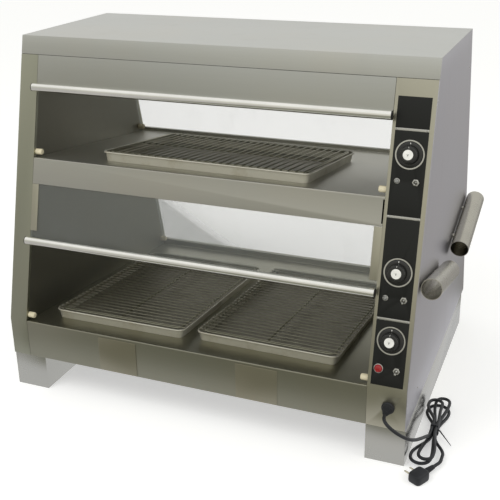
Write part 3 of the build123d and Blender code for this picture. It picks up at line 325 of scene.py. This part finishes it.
def lamp_lens(name, colour, glow):
    """Small domed lens, a little lit from inside."""
    finish = blank(name)
    ribs = finish.noise(420.0, detail=1.0)
    base = finish.mix(ribs.above(0.35, 0.65), shaded(colour, 0.6), colour)
    return finish.surface(
        Base_Color=base, Roughness=0.12 + ribs * 0.1, Coat_Weight=0.6, Coat_Roughness=0.03,
        Emission_Color=base, Emission_Strength=glow,
    )


def frosted_tube(name, colour):
    """Frosted lamp or quartz tube."""
    finish = blank(name)
    cloud = finish.noise(30.0, (0.1, 1, 1))
    base = finish.mix(cloud.above(0.4, 0.6), shaded(colour, 0.85), colour)
    return finish.surface(Base_Color=base, Roughness=0.22 + cloud * 0.1, Coat_Weight=0.3)


# One brushed steel in a tone for each part: the differences, most of all the darker and olive
# fascia_steel, cover_steel, left_post_steel and liner_steel, are partly painted shade and painted
# reflection.
hood_steel = brushed("hood_steel", tone(204, 205, 200), "x", 0.34)
front_steel = brushed("front_steel", tone(186, 187, 180), "x", 0.32)
header_steel = brushed("header_steel", tone(185, 186, 180), "x", 0.34)
fascia_steel = brushed("fascia_steel", tone(156, 155, 140), "x", 0.36)
post_steel = brushed("post_steel", tone(190, 187, 170), "z", 0.32)
left_post_steel = brushed("left_post_steel", tone(167, 168, 152), "z", 0.36)
side_steel = brushed("side_steel", tone(200, 199, 204), "z", 0.36, streaks=0.03, warm_reflection=0.15)
foot_steel = brushed("foot_steel", tone(196, 196, 190), "x", 0.24)
cover_steel = brushed("cover_steel", tone(168, 164, 146), "x", 0.34)
shelf_steel = brushed("shelf_steel", tone(195, 194, 185), "x", 0.42)
liner_steel = brushed("liner_steel", tone(145, 144, 134), "z", 0.42)
reflector_steel = brushed("reflector_steel", tone(190, 190, 184), "x", 0.22)
pan_steel = brushed("pan_steel", tone(150, 150, 146), "y", 0.4)
rail_aluminium = brushed("rail_aluminium", tone(200, 200, 196), "x", 0.3)
bar_steel = polished("bar_steel", tone(250, 249, 243), 0.11)
tube_steel = polished("tube_steel", tone(182, 179, 168), 0.26)
trim_steel = polished("trim_steel", tone(206, 205, 200), 0.24)
ring_steel = polished("ring_steel", tone(216, 215, 208), 0.30)
wire_steel = polished("wire_steel", tone(172, 170, 152), 0.42)
pin_metal = polished("pin_metal", tone(226, 220, 200), 0.22)
tray_metal = pressed_aluminium("tray_metal", tone(214, 211, 197))
plate_black = painted_plate("plate_black", tone(34, 35, 33))
knob_black = moulded("knob_black", tone(24, 24, 22), 0.22, coat=0.45)
body_black = moulded("body_black", tone(30, 30, 30), 0.5)
cord_black = moulded("cord_black", tone(30, 32, 36), 0.42, coat=0.1)
cap_white = moulded("cap_white", tone(236, 235, 228), 0.35, coat=0.2)
mark_grey = moulded("mark_grey", tone(120, 120, 116), 0.4)
bumper_cream = moulded("bumper_cream", tone(222, 212, 180), 0.5)
quartz = frosted_tube("quartz", tone(206, 190, 170))
lamp_white = frosted_tube("lamp_white", tone(236, 234, 226))
screen_glass = clear_sheet("screen_glass", tone(206, 210, 206), 0.06)
flap_clear = clear_sheet("flap_clear", tone(204, 207, 203), 0.09)
red_glass = lamp_lens("red_glass", tone(158, 12, 20), 0.14)
pale_glass = lamp_lens("pale_glass", tone(150, 150, 146), 0.02)


def wears(piece, material):
    """Give a piece a material in place of those it has."""
    piece.data.materials.clear()
    piece.data.materials.append(material)


def new_piece(name, mesh_or_curve, body, material, stands_for=()):
    """Put a new piece in the scene, on its body, with its finish."""
    piece = bpy.data.objects.new(name, mesh_or_curve)
    scene.collection.objects.link(piece)
    wears(piece, material)
    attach(piece, body)
    if stands_for:
        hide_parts(*stands_for)
    return piece


# Cord: one line from the gland through the hank to the plug
CORD_RADIUS = 0.00425
LAYER = 0.0098
PAIR = 0.0102
TOP_LAYER = 2
HANK_X = RIGHT + 0.044
WAIST_Y = MID_Y - 0.250
UP_X = HANK_X - PAIR / 2
DOWN_X = HANK_X + PAIR / 2
FLOOR_LAYER = CORD_RADIUS + 0.0015
STRAIGHT = 0.007
BY_THE_WAIST = 0.25
BY_THE_BEND = 0.72
DRAWN_IN = 0.925
GLAND_X = BAY_RIGHT + 0.054
GLAND_Z = 0.160
GLAND_LENGTH = 0.032
# Each loop's shift aside, reach from the waist and radius
FAR_LOOPS = [(-0.017, 0.108, 0.017), (-0.002, 0.136, 0.017), (-0.008, 0.103, 0.027)]
NEAR_LOOPS = [(0.002, 0.131, 0.017), (-0.010, 0.132, 0.024)]
PLUG_TURN = math.radians(28)
PLUG_TURN_RADIUS = 0.070


def layer_height(layer):
    """Height of the middle line of one layer of the hank."""
    return FLOOR_LAYER + layer * LAYER


def loop_points(side, middle, reach, radius, height_in, height_out):
    """Points of one loop, out from the waist, round and back, clockwise from above."""
    x_in = UP_X if side > 0 else DOWN_X
    x_out = DOWN_X if side > 0 else UP_X
    root = WAIST_Y + side * STRAIGHT
    run = reach - STRAIGHT
    by_the_waist = root + side * run * BY_THE_WAIST
    by_the_bend = root + side * run * BY_THE_BEND
    centre = Vector((HANK_X + middle, WAIST_Y + side * reach, 0))
    wide = radius / DRAWN_IN
    points = [(x_in, root, height_in), (x_in, by_the_waist, height_in)]
    points.append((centre.x - side * radius, by_the_bend, height_in))
    for step in range(5):
        angle = math.pi * step / 4
        x = centre.x - side * wide * math.cos(angle)
        y = centre.y + side * wide * math.sin(angle)
        points.append((x, y, height_in))
    half_way = (height_in + height_out) / 2
    points.append((centre.x + side * radius, by_the_bend, half_way))
    points.append((x_out, by_the_waist, height_out))
    points.append((x_out, root, height_out))
    return points


lead_start = Vector((GLAND_X, front_y(GLAND_Z) - GLAND_LENGTH, GLAND_Z))
cord_points = [
    (lead_start.x, lead_start.y, lead_start.z),
    (lead_start.x, lead_start.y - 0.014, lead_start.z),
    (lead_start.x + 0.007, lead_start.y - 0.027, lead_start.z - 0.004),
    (lead_start.x + 0.021, lead_start.y - 0.034, lead_start.z - 0.012),
    (RIGHT - 0.003, lead_start.y - 0.031, lead_start.z - 0.027),
    (RIGHT + 0.015, lead_start.y - 0.011, lead_start.z - 0.048),
    (RIGHT + 0.025, WAIST_Y - 0.168, lead_start.z - 0.073),
    (RIGHT + 0.032, WAIST_Y - 0.120, 0.063),
    (RIGHT + 0.037, WAIST_Y - 0.076, 0.042),
    (UP_X, WAIST_Y - 0.047, layer_height(TOP_LAYER)),
    (UP_X, WAIST_Y - 0.025, layer_height(TOP_LAYER)),
]
for turn, far_loop in enumerate(FAR_LOOPS):
    level = layer_height(TOP_LAYER - turn)
    cord_points += loop_points(1, *far_loop, level, level)
    if turn < len(NEAR_LOOPS):
        below = layer_height(TOP_LAYER - turn - 1)
        cord_points += loop_points(-1, *NEAR_LOOPS[turn], level, below)
plug_exit = Vector((HANK_X + 0.039, WAIST_Y - 0.112, 0.012))
plug_heading = Vector((-math.sin(PLUG_TURN), -math.cos(PLUG_TURN), 0))
corner_run = PLUG_TURN_RADIUS * math.tan(PLUG_TURN / 2)
plug_corner = plug_exit - Vector((0, corner_run, 0))
cord_end = plug_corner + plug_heading * (corner_run + 2 * CORD_RADIUS)
exit_run = WAIST_Y - STRAIGHT - plug_exit.y
cord_points += [
    (DOWN_X, WAIST_Y - STRAIGHT - exit_run * BY_THE_WAIST, layer_height(0)),
    (plug_exit.x, plug_exit.y + exit_run * BY_THE_WAIST, plug_exit.z),
    tuple(plug_exit),
    tuple(plug_corner),
    tuple(cord_end - plug_heading * 2 * CORD_RADIUS),
    tuple(cord_end),
]
cord_curve = bpy.data.curves.new("power_cord", "CURVE")
cord_curve.dimensions = "3D"
cord_line = cord_curve.splines.new("NURBS")
cord_line.points.add(len(cord_points) - 1)
for point, spot in zip(cord_line.points, cord_points):
    point.co = (*spot, 1.0)
cord_line.order_u = 3
cord_line.use_endpoint_u = True
cord_line.resolution_u = 8
cord_curve.bevel_depth = CORD_RADIUS
cord_curve.bevel_resolution = 5
power_cord = new_piece(
    "power_cord", cord_curve, "cabinet", cord_black, ["cord_lead", "cord_hank"]
)


# Shapes of mesh
def mesh_piece(name, shape, body, material, stands_for=(), sharp=32.0):
    """A piece from bmesh, smooth but for edges sharper than an angle in degrees."""
    bmesh.ops.recalc_face_normals(shape, faces=shape.faces)
    mesh = bpy.data.meshes.new(name)
    shape.to_mesh(mesh)
    shape.free()
    for polygon in mesh.polygons:
        polygon.use_smooth = True
    mesh.set_sharp_from_angle(angle=math.radians(sharp))
    return new_piece(name, mesh, body, material, stands_for)


def add_ring(shape, matrix, radii, height):
    """Points round the Z axis of a frame, one for each radius."""
    ring = []
    for step, radius in enumerate(radii):
        angle = 2 * math.pi * step / len(radii)
        spot = Vector((radius * math.cos(angle), radius * math.sin(angle), height))
        ring.append(shape.verts.new(matrix @ spot))
    return ring


def join_rings(shape, rings):
    """Faces between each ring and the next; a ring of one point is a tip."""
    steps = max(len(ring) for ring in rings)
    for below, above in zip(rings, rings[1:]):
        for step in range(steps):
            after = (step + 1) % steps
            corners = [below[step % len(below)], below[after % len(below)]]
            corners += [above[after % len(above)], above[step % len(above)]]
            unique = list(dict.fromkeys(corners))
            if len(unique) > 2:
                shape.faces.new(unique)


def add_turned(shape, profile, matrix, steps):
    """Surface turned from (radius, height) points about the Z axis of a frame."""
    rings = []
    for radius, height in profile:
        rings.append(add_ring(shape, matrix, [radius] * (steps if radius else 1), height))
    join_rings(shape, rings)


def turned(profile, matrix, steps):
    """One turned surface, as a shape of its own."""
    shape = bmesh.new()
    add_turned(shape, profile, matrix, steps)
    return shape


def add_box(shape, place, wide, tall, thick):
    """Box in the middle of a frame."""
    corners = bmesh.ops.create_cube(shape, size=1.0)["verts"]
    scale = Matrix.Diagonal((wide, tall, thick, 1.0))
    bmesh.ops.transform(shape, matrix=place @ scale, verts=corners)


SAME_SPOT = 0.00001
SAME_FACE = math.radians(0.6)
SHEET_EDGE = math.radians(30.0)


def softened(node, width, material):
    """A copy of a sheet or block whose edges are rounded, in place of its CAD node."""
    shape = bmesh.new()
    shape.from_mesh(nodes[node].data)
    bmesh.ops.remove_doubles(shape, verts=shape.verts, dist=SAME_SPOT)
    bmesh.ops.dissolve_limit(
        shape, angle_limit=SAME_FACE, verts=shape.verts, edges=shape.edges, delimit={"NORMAL"}
    )
    edges = [
        edge for edge in shape.edges
        if len(edge.link_faces) == 2 and edge.calc_face_angle(0) > SHEET_EDGE
    ]
    bmesh.ops.bevel(
        shape, geom=edges, offset=width, offset_type="OFFSET", segments=2, profile=0.6,
        affect="EDGES", clamp_overlap=True,
    )
    mesh_piece(node + "_body", shape, "cabinet", material, [node], sharp=40.0)


# Sheets of the case, with rounded edges
sheet_finishes = {
    "top_cover": hood_steel,
    "front_header": header_steel,
    "rear_header": front_steel,
    "left_side_panel": left_post_steel,
    "right_side_panel": side_steel,
    "control_column": post_steel,
    "left_foot": foot_steel,
    "right_foot": foot_steel,
    "fascia_cover_plates": cover_steel,
    "screen_strips": post_steel,
    "shelf_deck": shelf_steel,
    "base_deck": fascia_steel,
}
for node, material in sheet_finishes.items():
    softened(node, 0.0005, material)
for node in ["title_plate", "upper_control_plate", "lower_control_plate", "power_control_plate"]:
    softened(node, 0.0004, plate_black)
softened("divider_strips", 0.0006, trim_steel)
softened("door_bumpers", 0.0008, bumper_cream)
softened("toggle_switches", 0.0003, trim_steel)

# CAD nodes that keep their shape
kept_finishes = {
    "left_inner_liner": liner_steel,
    "right_inner_liner": liner_steel,
    "bottom_pan": pan_steel,
    "upper_reflector": reflector_steel,
    "shelf_reflector": reflector_steel,
    "upper_bar": bar_steel,
    "lower_bar": bar_steel,
    "bar_end_plugs": body_black,
    "bar_pillars": trim_steel,
    "flap_pivot_pins": trim_steel,
    "front_tong_tube": tube_steel,
    "rear_tong_tube": tube_steel,
    "upper_flap_rail": rail_aluminium,
    "lower_flap_rail": rail_aluminium,
    "upper_flap_pane": flap_clear,
    "lower_flap_pane": flap_clear,
    "front_screen": screen_glass,
    "heating_elements": quartz,
    "lamp_tubes": lamp_white,
    "upper_tray": tray_metal,
    "left_tray": tray_metal,
    "right_tray": tray_metal,
    "heat_controls": body_black,
    "cord_tie": cord_black,
}
for node, material in kept_finishes.items():
    wears(nodes[node], material)


# Racks: round cross wires over a frame with a middle bar
# Each deck's height at its front edge, and how it falls towards the rear
DECKS = {"shelf": (0.655, math.radians(7.5)), "base": (0.210, math.radians(6.05))}
LOWER_TRAYS_X = BAY_MIDDLE - 0.0175
LOWER_TRAYS_APART = 0.2175
# Each tray's deck, middle and turn
TRAYS = {
    "upper": ("shelf", BAY_MIDDLE - 0.005, -0.059, math.radians(-1.3)),
    "left": ("base", LOWER_TRAYS_X - LOWER_TRAYS_APART, -0.058, math.radians(90.5)),
    "right": ("base", LOWER_TRAYS_X + LOWER_TRAYS_APART, -0.045, math.radians(89.1)),
}
RACK_LONG = 0.572
RACK_WIDE = 0.372
WIRE_RADIUS = 0.0015
WIRE_LENGTH = 0.397
WIRE_PITCH = 0.0208
WIRE_COUNT = 28
WIRE_MIDDLE = 0.0286
FRAME_TOP = 0.0279
FRAME_RADIUS = 0.0025
FRAME_MIDDLE = FRAME_TOP - FRAME_RADIUS
FRAME_CORNER = 0.0115


def tray_frame(deck, x, y, turn):
    """Frame of a tray on its deck: X along the tray, Z off the deck."""
    edge, fall = DECKS[deck]
    along = Vector((0, math.cos(fall), -math.sin(fall)))
    x_axis = Vector((math.cos(turn), 0, 0)) + along * math.sin(turn)
    normal = Vector((0, math.sin(fall), math.cos(fall)))
    height = edge - (MID_Y + y - front_y(edge)) * math.tan(fall)
    return frame_of(x_axis, normal.cross(x_axis), normal, Vector((x, MID_Y + y, height)))


def add_wire(shape, start, end, radius):
    """Round wire between two points, with blunt ends."""
    way = (end - start).normalized()
    matrix = way.to_track_quat("Z", "Y").to_matrix().to_4x4()
    matrix.translation = start
    run = (end - start).length
    blunt = radius * 0.3
    profile = [(0.0, 0.0), (radius - blunt, 0.0), (radius, blunt)]
    profile += [(radius, run - blunt), (radius - blunt, run), (0.0, run)]
    add_turned(shape, profile, matrix, 8)


def add_rack_frame(shape, place):
    """Round wire bent to a rectangle with rounded corners, in a tray's frame."""
    up = Vector((0, 0, 1))
    reach_x = RACK_LONG / 2 - FRAME_RADIUS - FRAME_CORNER
    reach_y = RACK_WIDE / 2 - FRAME_RADIUS - FRAME_CORNER
    line = []
    for turn, side_x, side_y in [(0, 1, 1), (1, -1, 1), (2, -1, -1), (3, 1, -1)]:
        centre = Vector((side_x * reach_x, side_y * reach_y, FRAME_MIDDLE))
        for step in range(5):
            angle = math.pi / 2 * (turn + step / 4)
            line.append(centre + Vector((math.cos(angle), math.sin(angle), 0)) * FRAME_CORNER)
    rings = []
    for spot, before, after in zip(line, line[-1:] + line[:-1], line[1:] + line[:1]):
        side = (after - before).normalized().cross(up)
        ring = []
        for step in range(8):
            angle = math.pi / 4 * step
            out = side * math.cos(angle) + up * math.sin(angle)
            ring.append(shape.verts.new(place @ (spot + out * FRAME_RADIUS)))
        rings.append(ring)
    join_rings(shape, rings + rings[:1])


def wire_rack(tray):
    """Cross wires, the frame that hangs under them, and the middle bar."""
    place = tray_frame(*TRAYS[tray])
    shape = bmesh.new()
    for number in range(WIRE_COUNT):
        x = (number - (WIRE_COUNT - 1) / 2) * WIRE_PITCH
        ends = [place @ Vector((x, side * WIRE_LENGTH / 2, WIRE_MIDDLE)) for side in (-1, 1)]
        add_wire(shape, *ends, WIRE_RADIUS)
    add_rack_frame(shape, place)
    reach = RACK_LONG / 2 - FRAME_RADIUS
    ends = [place @ Vector((side * reach, 0, FRAME_MIDDLE)) for side in (-1, 1)]
    add_wire(shape, *ends, FRAME_RADIUS)
    return shape


for tray in TRAYS:
    rack = tray + "_rack"
    mesh_piece(tray + "_wires", wire_rack(tray), rack, wire_steel, [rack], sharp=50.0)


# Knobs: skirt, ribbed grip, white cap with a mark, and a pointer
KNOB_GAP = 0.0006
KNOB_RIBS = 30
RIB_DEPTH = 0.0005
SKIRT = [
    (0.009, 0.0), (0.0288, 0.0), (0.0296, 0.0004), (0.0300, 0.0012), (0.0298, 0.0020),
    (0.0290, 0.0027), (0.0262, 0.0034), (0.0232, 0.0038), (0.0, 0.0038),
]
# Radius, height, and how far the ribs are cut there
GRIP = [
    (0.0228, 0.0036, 0.0), (0.0226, 0.0050, 0.6), (0.0220, 0.0080, 1.0), (0.0210, 0.0150, 1.0),
    (0.0205, 0.0180, 0.9), (0.0196, 0.0198, 0.5), (0.0180, 0.0208, 0.0), (0.0150, 0.0210, 0.0),
]
CAP = [
    (0.0120, 0.0208), (0.0120, 0.0226), (0.0117, 0.0234), (0.0110, 0.0239), (0.0080, 0.0240),
    (0.0, 0.0240),
]
# Distance up the dial, width, length, and the heights of its bottom and top
POINTERS = [(0.0262, 0.0020, 0.0036, 0.0030, 0.0040), (0.0172, 0.0014, 0.0040, 0.0205, 0.0211)]
MARK_TILT = 0.42
MARK_FOOT = (0, -0.0024, 0.02405)
MARK_STROKE = (0.0010, 0.0058, 0.0003)


def ribbed_grip(matrix):
    """Turned grip whose side is ribbed, with a flat top."""
    steps = KNOB_RIBS * 4
    shape = bmesh.new()
    rings = []
    for radius, height, ribbed in GRIP:
        radii = []
        for step in range(steps):
            angle = 2 * math.pi * step / steps
            radii.append(radius - RIB_DEPTH * ribbed * (1 - math.cos(KNOB_RIBS * angle)) / 2)
        rings.append(add_ring(shape, matrix, radii, height))
    join_rings(shape, rings)
    shape.faces.new(rings[-1])
    return shape


def pointer(matrix):
    """Two short raised lines, one on the skirt and one on the grip."""
    shape = bmesh.new()
    for y, wide, tall, low, high in POINTERS:
        middle = matrix @ Matrix.Translation((0.0, y, (low + high) / 2))
        add_box(shape, middle, wide, tall, high - low)
    bmesh.ops.bevel(shape, geom=list(shape.edges), offset=0.0003, segments=2, affect="EDGES")
    return shape


def cap_mark(matrix):
    """Two thin strokes that meet at a point on the cap."""
    shape = bmesh.new()
    for tilt in [-MARK_TILT, MARK_TILT]:
        lean = Matrix.Rotation(tilt, 4, "Z") @ Matrix.Translation((0, 0.0022, 0))
        add_box(shape, matrix @ Matrix.Translation(MARK_FOOT) @ lean, *MARK_STROKE)
    return shape


for name, height in DIALS.items():
    foot = face_frame(DIAL_X, height, PLATE_THICKNESS + KNOB_GAP)
    skirt = turned(SKIRT, foot, 72)
    mesh_piece(name + "_skirt", skirt, name, knob_black, [name])
    grip = ribbed_grip(foot)
    mesh_piece(name + "_grip", grip, name, knob_black, sharp=50.0)
    mesh_piece(name + "_cap", turned(CAP, foot, 48), name, cap_white)
    mesh_piece(name + "_pointer", pointer(foot), name, cap_white)
    mesh_piece(name + "_cap_mark", cap_mark(foot), name, mark_grey)

# Bezel rings and lamp rims
BEZEL = [
    (0.0310, 0.0), (0.0310, 0.0017), (0.0312, 0.0020), (0.0318, 0.0021), (0.0337, 0.0021),
    (0.0343, 0.0020), (0.0345, 0.0016), (0.0345, 0.0),
]
# Bore and outer radius of each lamp's rim
INDICATOR_RIM = (0.00505, 0.0070)
POWER_RIM = (0.00955, 0.0115)
shape = bmesh.new()
for height in DIALS.values():
    add_turned(shape, BEZEL, face_frame(DIAL_X, height, PLATE_THICKNESS), 72)
for name, height in SWITCHES.items():
    bore, rim = POWER_RIM if name == "power_lever" else INDICATOR_RIM
    lamp_rim = [
        (bore, 0.0), (bore, 0.0014), (bore + 0.0004, 0.0020), (rim - 0.0007, 0.0018),
        (rim, 0.0009), (rim, 0.0),
    ]
    add_turned(shape, lamp_rim, face_frame(LAMP_X, height, PLATE_THICKNESS), 40)
mesh_piece(
    "bezel_rings", shape, "cabinet", ring_steel, ["panel_bezels"], sharp=45
)

# Lamps
INDICATOR_DOME = [
    (0.0049, -0.003), (0.0049, 0.0016), (0.0046, 0.0026), (0.0038, 0.0036), (0.0022, 0.0043),
    (0.0, 0.0046),
]
POWER_DOME = [
    (0.0094, -0.003), (0.0094, 0.0020), (0.0090, 0.0034), (0.0076, 0.0052), (0.0048, 0.0066),
    (0.0, 0.0071),
]
shape = bmesh.new()
for name in ["upper_light_lever", "lower_light_lever"]:
    add_turned(shape, INDICATOR_DOME, face_frame(LAMP_X, SWITCHES[name], PLATE_THICKNESS), 32)
mesh_piece(
    "indicator_domes", shape, "cabinet", pale_glass, ["indicator_lamps"]
)
shape = turned(POWER_DOME, face_frame(LAMP_X, SWITCHES["power_lever"], PLATE_THICKNESS), 40)
mesh_piece("power_dome", shape, "cabinet", red_glass, ["power_lamp"])

# Toggle levers: a bat on a small barrel
LEVER_PIVOT = 0.0045
LEVER_HANG = math.radians(14)
BAT = [
    (0.0, -0.0042), (0.0022, -0.0036), (0.0037, -0.0020), (0.0042, 0.0), (0.0037, 0.0020),
    (0.0024, 0.0034), (0.0018, 0.0050), (0.0021, 0.0090), (0.0026, 0.0130), (0.0028, 0.0146),
    (0.0026, 0.0158), (0.0018, 0.0167), (0.0, 0.0170),
]
for name, height in SWITCHES.items():
    pivot = face_frame(TOGGLE_X, height, LEVER_PIVOT)
    bat = turned(BAT, pivot @ Matrix.Rotation(LEVER_HANG, 4, "X"), 32)
    mesh_piece(name + "_bat", bat, name, trim_steel, [name])

# Screws: domed heads with a cross, on the divider strips and on the right side panel
SCREW_RADIUS = 0.0024
SCREW_HEIGHT = 0.0013
# Each point of the head, as shares of its radius and height
SCREW_HEAD = [
    (1.0, 0.0), (1.0, 0.45), (0.86, 0.80), (0.6, 1.0), (0.42, 1.0), (0.36, 0.62), (0.0, 0.55),
]
STRIP_THICKNESS = 0.002
STRIP_HEIGHTS = [0.8105, 0.612, 0.375]
STRIP_SCREWS_X = [BAY_RIGHT + 0.012, BAY_RIGHT + 0.083]
# Distance behind the middle of the case, and height, of the screws on the right side
SIDE_SCREWS = [(-0.285, 0.152), (0.207, 0.871), (-0.245, 0.877)]


def add_cross_screw(shape, matrix):
    """Domed screw head with a raised edge and a cross sunk in it."""
    head = [(SCREW_RADIUS * across, SCREW_HEIGHT * up) for across, up in SCREW_HEAD]
    add_turned(shape, head, matrix, 24)
    for turn in [0.0, math.pi / 2]:
        middle = Matrix.Translation((0, 0, SCREW_HEIGHT * 0.70)) @ Matrix.Rotation(turn, 4, "Z")
        add_box(
            shape, matrix @ middle, SCREW_RADIUS * 1.1, SCREW_RADIUS * 0.22, SCREW_HEIGHT * 0.18
        )


shape = bmesh.new()
for height in STRIP_HEIGHTS:
    for x in STRIP_SCREWS_X:
        add_cross_screw(shape, face_frame(x, height, STRIP_THICKNESS))
for y, height in SIDE_SCREWS:
    outward = Matrix(((0, 0, 1), (1, 0, 0), (0, 1, 0))).to_4x4()
    outward.translation = Vector((RIGHT, MID_Y + y, height))
    add_cross_screw(shape, outward)
mesh_piece("cross_screws", shape, "cabinet", trim_steel, ["panel_screws"])

# Gland with a ribbed, tapered boot
out_of_face = Matrix(((1, 0, 0), (0, 0, -1), (0, 1, 0))).to_4x4()
out_of_face.translation = Vector((GLAND_X, front_y(GLAND_Z), GLAND_Z))
boot = [
    (0.0, -0.009), (0.008, -0.009), (0.008, 0.0), (0.0158, 0.0), (0.0160, 0.0012),
    (0.0160, 0.0042), (0.0154, 0.0052), (0.0135, 0.0062), (0.0128, 0.0100), (0.0122, 0.0120),
]
for rib in range(4):
    start = 0.0125 + rib * 0.0042
    size = 0.0112 - rib * 0.0013
    groove = size - 0.0014
    boot += [(size, start), (size, start + 0.0022)]
    boot += [(groove, start + 0.0028), (groove, start + 0.0040)]
boot += [(0.0058, 0.0300), (0.0056, 0.0318), (0.0044, 0.0320), (0.0, 0.0320)]
mesh_piece(
    "gland_boot", turned(boot, out_of_face, 40), "cabinet", cord_black,
    ["cord_gland"],
)

# Plug: ribbed relief, rounded body and two pins
RELIEF_RUN = 0.036
PLUG_RUN = 0.046
PLUG_WIDE = 0.036
PLUG_TALL = 0.024
PLUG_POINTS = 40
PLUG_SQUARENESS = 0.42
# Each level's height, and the size of the outline there
PLUG_LEVELS = [
    (0.0, 0.90), (0.0012, 0.97), (0.005, 1.0), (0.012, 1.0), (0.019, 0.985), (0.0222, 0.94),
    (0.0236, 0.86), (0.024, 0.74),
]
PIN = [(0.0024, 0.0), (0.0024, 0.0165), (0.0022, 0.0190), (0.0015, 0.0205), (0.0, 0.0209)]
PIN_OFFSET = 0.0095
UPWARD = Vector((0, 0, 1))
relief = [(0.0, 0.0), (0.0052, 0.0), (0.0056, 0.0010)]
for rib in range(6):
    start = 0.003 + rib * 0.005
    size = 0.0058 + rib * 0.00042
    groove = size - 0.0010
    relief += [(size, start), (size, start + 0.0028)]
    relief += [(groove, start + 0.0033), (groove, start + 0.0046)]
relief += [(0.0082, RELIEF_RUN - 0.001), (0.0082, RELIEF_RUN + 0.006), (0.0, RELIEF_RUN + 0.006)]
along_cord = frame_of(UPWARD.cross(plug_heading), UPWARD, plug_heading, cord_end)
shape = turned(relief, along_cord, 32)
pins_way = Vector((plug_heading.y, -plug_heading.x, 0))
plug_middle = cord_end + plug_heading * (RELIEF_RUN + PLUG_RUN / 2 - 0.004)
outline = []
for step in range(PLUG_POINTS):
    angle = 2 * math.pi * step / PLUG_POINTS
    along, across = math.cos(angle), math.sin(angle)
    x = math.copysign(abs(along) ** PLUG_SQUARENESS, along) * PLUG_RUN / 2
    y = math.copysign(abs(across) ** PLUG_SQUARENESS, across) * PLUG_WIDE / 2
    outline.append((x, y))
rings = []
for height, share in PLUG_LEVELS:
    middle = Vector((plug_middle.x, plug_middle.y, height))
    ring = []
    for x, y in outline:
        spot = middle + plug_heading * (x * share) + pins_way * (y * share)
        ring.append(shape.verts.new(spot))
    rings.append(ring)
join_rings(shape, rings)
shape.faces.new(rings[0])
shape.faces.new(rings[-1])
plug_body = mesh_piece(
    "plug_body", shape, "cabinet", cord_black, ["plug"], sharp=50
)
shape = bmesh.new()
for side in [-1, 1]:
    root = plug_middle + pins_way * (PLUG_WIDE / 2 - 0.002) + plug_heading * (side * PIN_OFFSET)
    root.z = PLUG_TALL / 2
    add_turned(shape, PIN, frame_of(plug_heading, UPWARD, pins_way, root), 24)
plug_pins = mesh_piece("plug_pins", shape, "cabinet", pin_metal)

# Floor and background
FOOT_REACH = 0.41
FLOOR_SIZE = 12.0
FLOOR_HEIGHT = -0.0002


def floor_finish():
    """Pale floor: lifted for the camera with its shadow kept, and set tones in reflections."""
    finish = blank("floor_white")
    path = finish.add("ShaderNodeLightPath")
    x, y, _ = finish.parts(finish.place())
    aside = abs(x - MID_X) - WIDTH / 2
    ahead = abs(y - MID_Y) - FOOT_REACH
    far_off = aside.or_more(ahead).above(0.08, 0.26)
    far_tone = finish.mix(aside.above(0.0, 0.3), tone(136, 136, 124), tone(180, 178, 176))
    mirror_tone = finish.mix(far_off, tone(214, 214, 215), far_tone)
    diffuse = finish.add("ShaderNodeBsdfDiffuse", None, {"Color": tone(232, 232, 230)})
    lift = finish.add("ShaderNodeEmission", None, {"Color": (1, 1, 1, 1), "Strength": 0.42})
    lifted = finish.add("ShaderNodeAddShader", None, {0: diffuse.outputs[0], 1: lift.outputs[0]})
    reflected = finish.add("ShaderNodeEmission", None, {"Color": mirror_tone, "Strength": 1.0})
    shown = finish.add(
        "ShaderNodeMixShader", None,
        {0: path.outputs["Is Camera Ray"], 1: diffuse.outputs[0], 2: lifted.outputs[0]},
    )
    both = finish.add(
        "ShaderNodeMixShader", None,
        {0: path.outputs["Is Glossy Ray"], 1: shown.outputs[0], 2: reflected.outputs[0]},
    )
    finish.add("ShaderNodeOutputMaterial", None, {0: both.outputs[0]})
    return finish.owner


shape = bmesh.new()
bmesh.ops.create_grid(shape, x_segments=1, y_segments=1, size=FLOOR_SIZE)
floor_mesh = bpy.data.meshes.new("floor")
shape.to_mesh(floor_mesh)
shape.free()
floor = bpy.data.objects.new("floor", floor_mesh)
scene.collection.objects.link(floor)
floor.location = (0, 0, FLOOR_HEIGHT)
floor.data.materials.append(floor_finish())

world = bpy.data.worlds.new("studio")
scene.world = world
sky = Finish(world)
path = sky.add("ShaderNodeLightPath")
way_x, way_y, way_z = sky.parts(sky.add("ShaderNodeTexCoord").outputs["Generated"])
front = (way_y * -1).above(0.1, 0.9)
leftward = (way_x * -1).above(0.15, 0.75)
high = way_z.above(0.15, 0.8)
room = sky.mix(front, tone(226, 226, 224), tone(208, 206, 196))
room = sky.mix(front * leftward, room, tone(172, 172, 164))
room = sky.mix(high, room, tone(238, 238, 236))
seen = Reading(sky, path.outputs["Is Camera Ray"])
through = Reading(sky, path.outputs["Is Transmission Ray"])
lit = sky.mix(path.outputs["Is Glossy Ray"], tone(214, 214, 212), room)
shown = sky.mix(seen + through, lit, (1, 1, 1, 1))
background = sky.add("ShaderNodeBackground", None, {"Color": shown, "Strength": 1.0})
sky.add("ShaderNodeOutputWorld", None, {0: background.outputs[0]})


# Light
def soft_light(name, place, aim, size, power):
    """Square area lamp aimed at a point, which no metal mirrors."""
    data = bpy.data.lights.new(name, "AREA")
    data.shape = "SQUARE"
    data.size = size
    data.energy = power
    lamp = bpy.data.objects.new(name, data)
    lamp.visible_glossy = False
    scene.collection.objects.link(lamp)
    lamp.location = place
    lamp.rotation_mode = "QUATERNION"
    lamp.rotation_quaternion = (Vector(aim) - Vector(place)).to_track_quat("-Z", "Y")


soft_light("key_light", place=(-1.2, -2.2, 3.2), aim=(0, 0, 0.4), size=1.8, power=38)
soft_light("side_light", place=(3.0, -0.6, 2.2), aim=(0.3, 0, 0.4), size=1.6, power=16)

scene.view_settings.view_transform = "Standard"
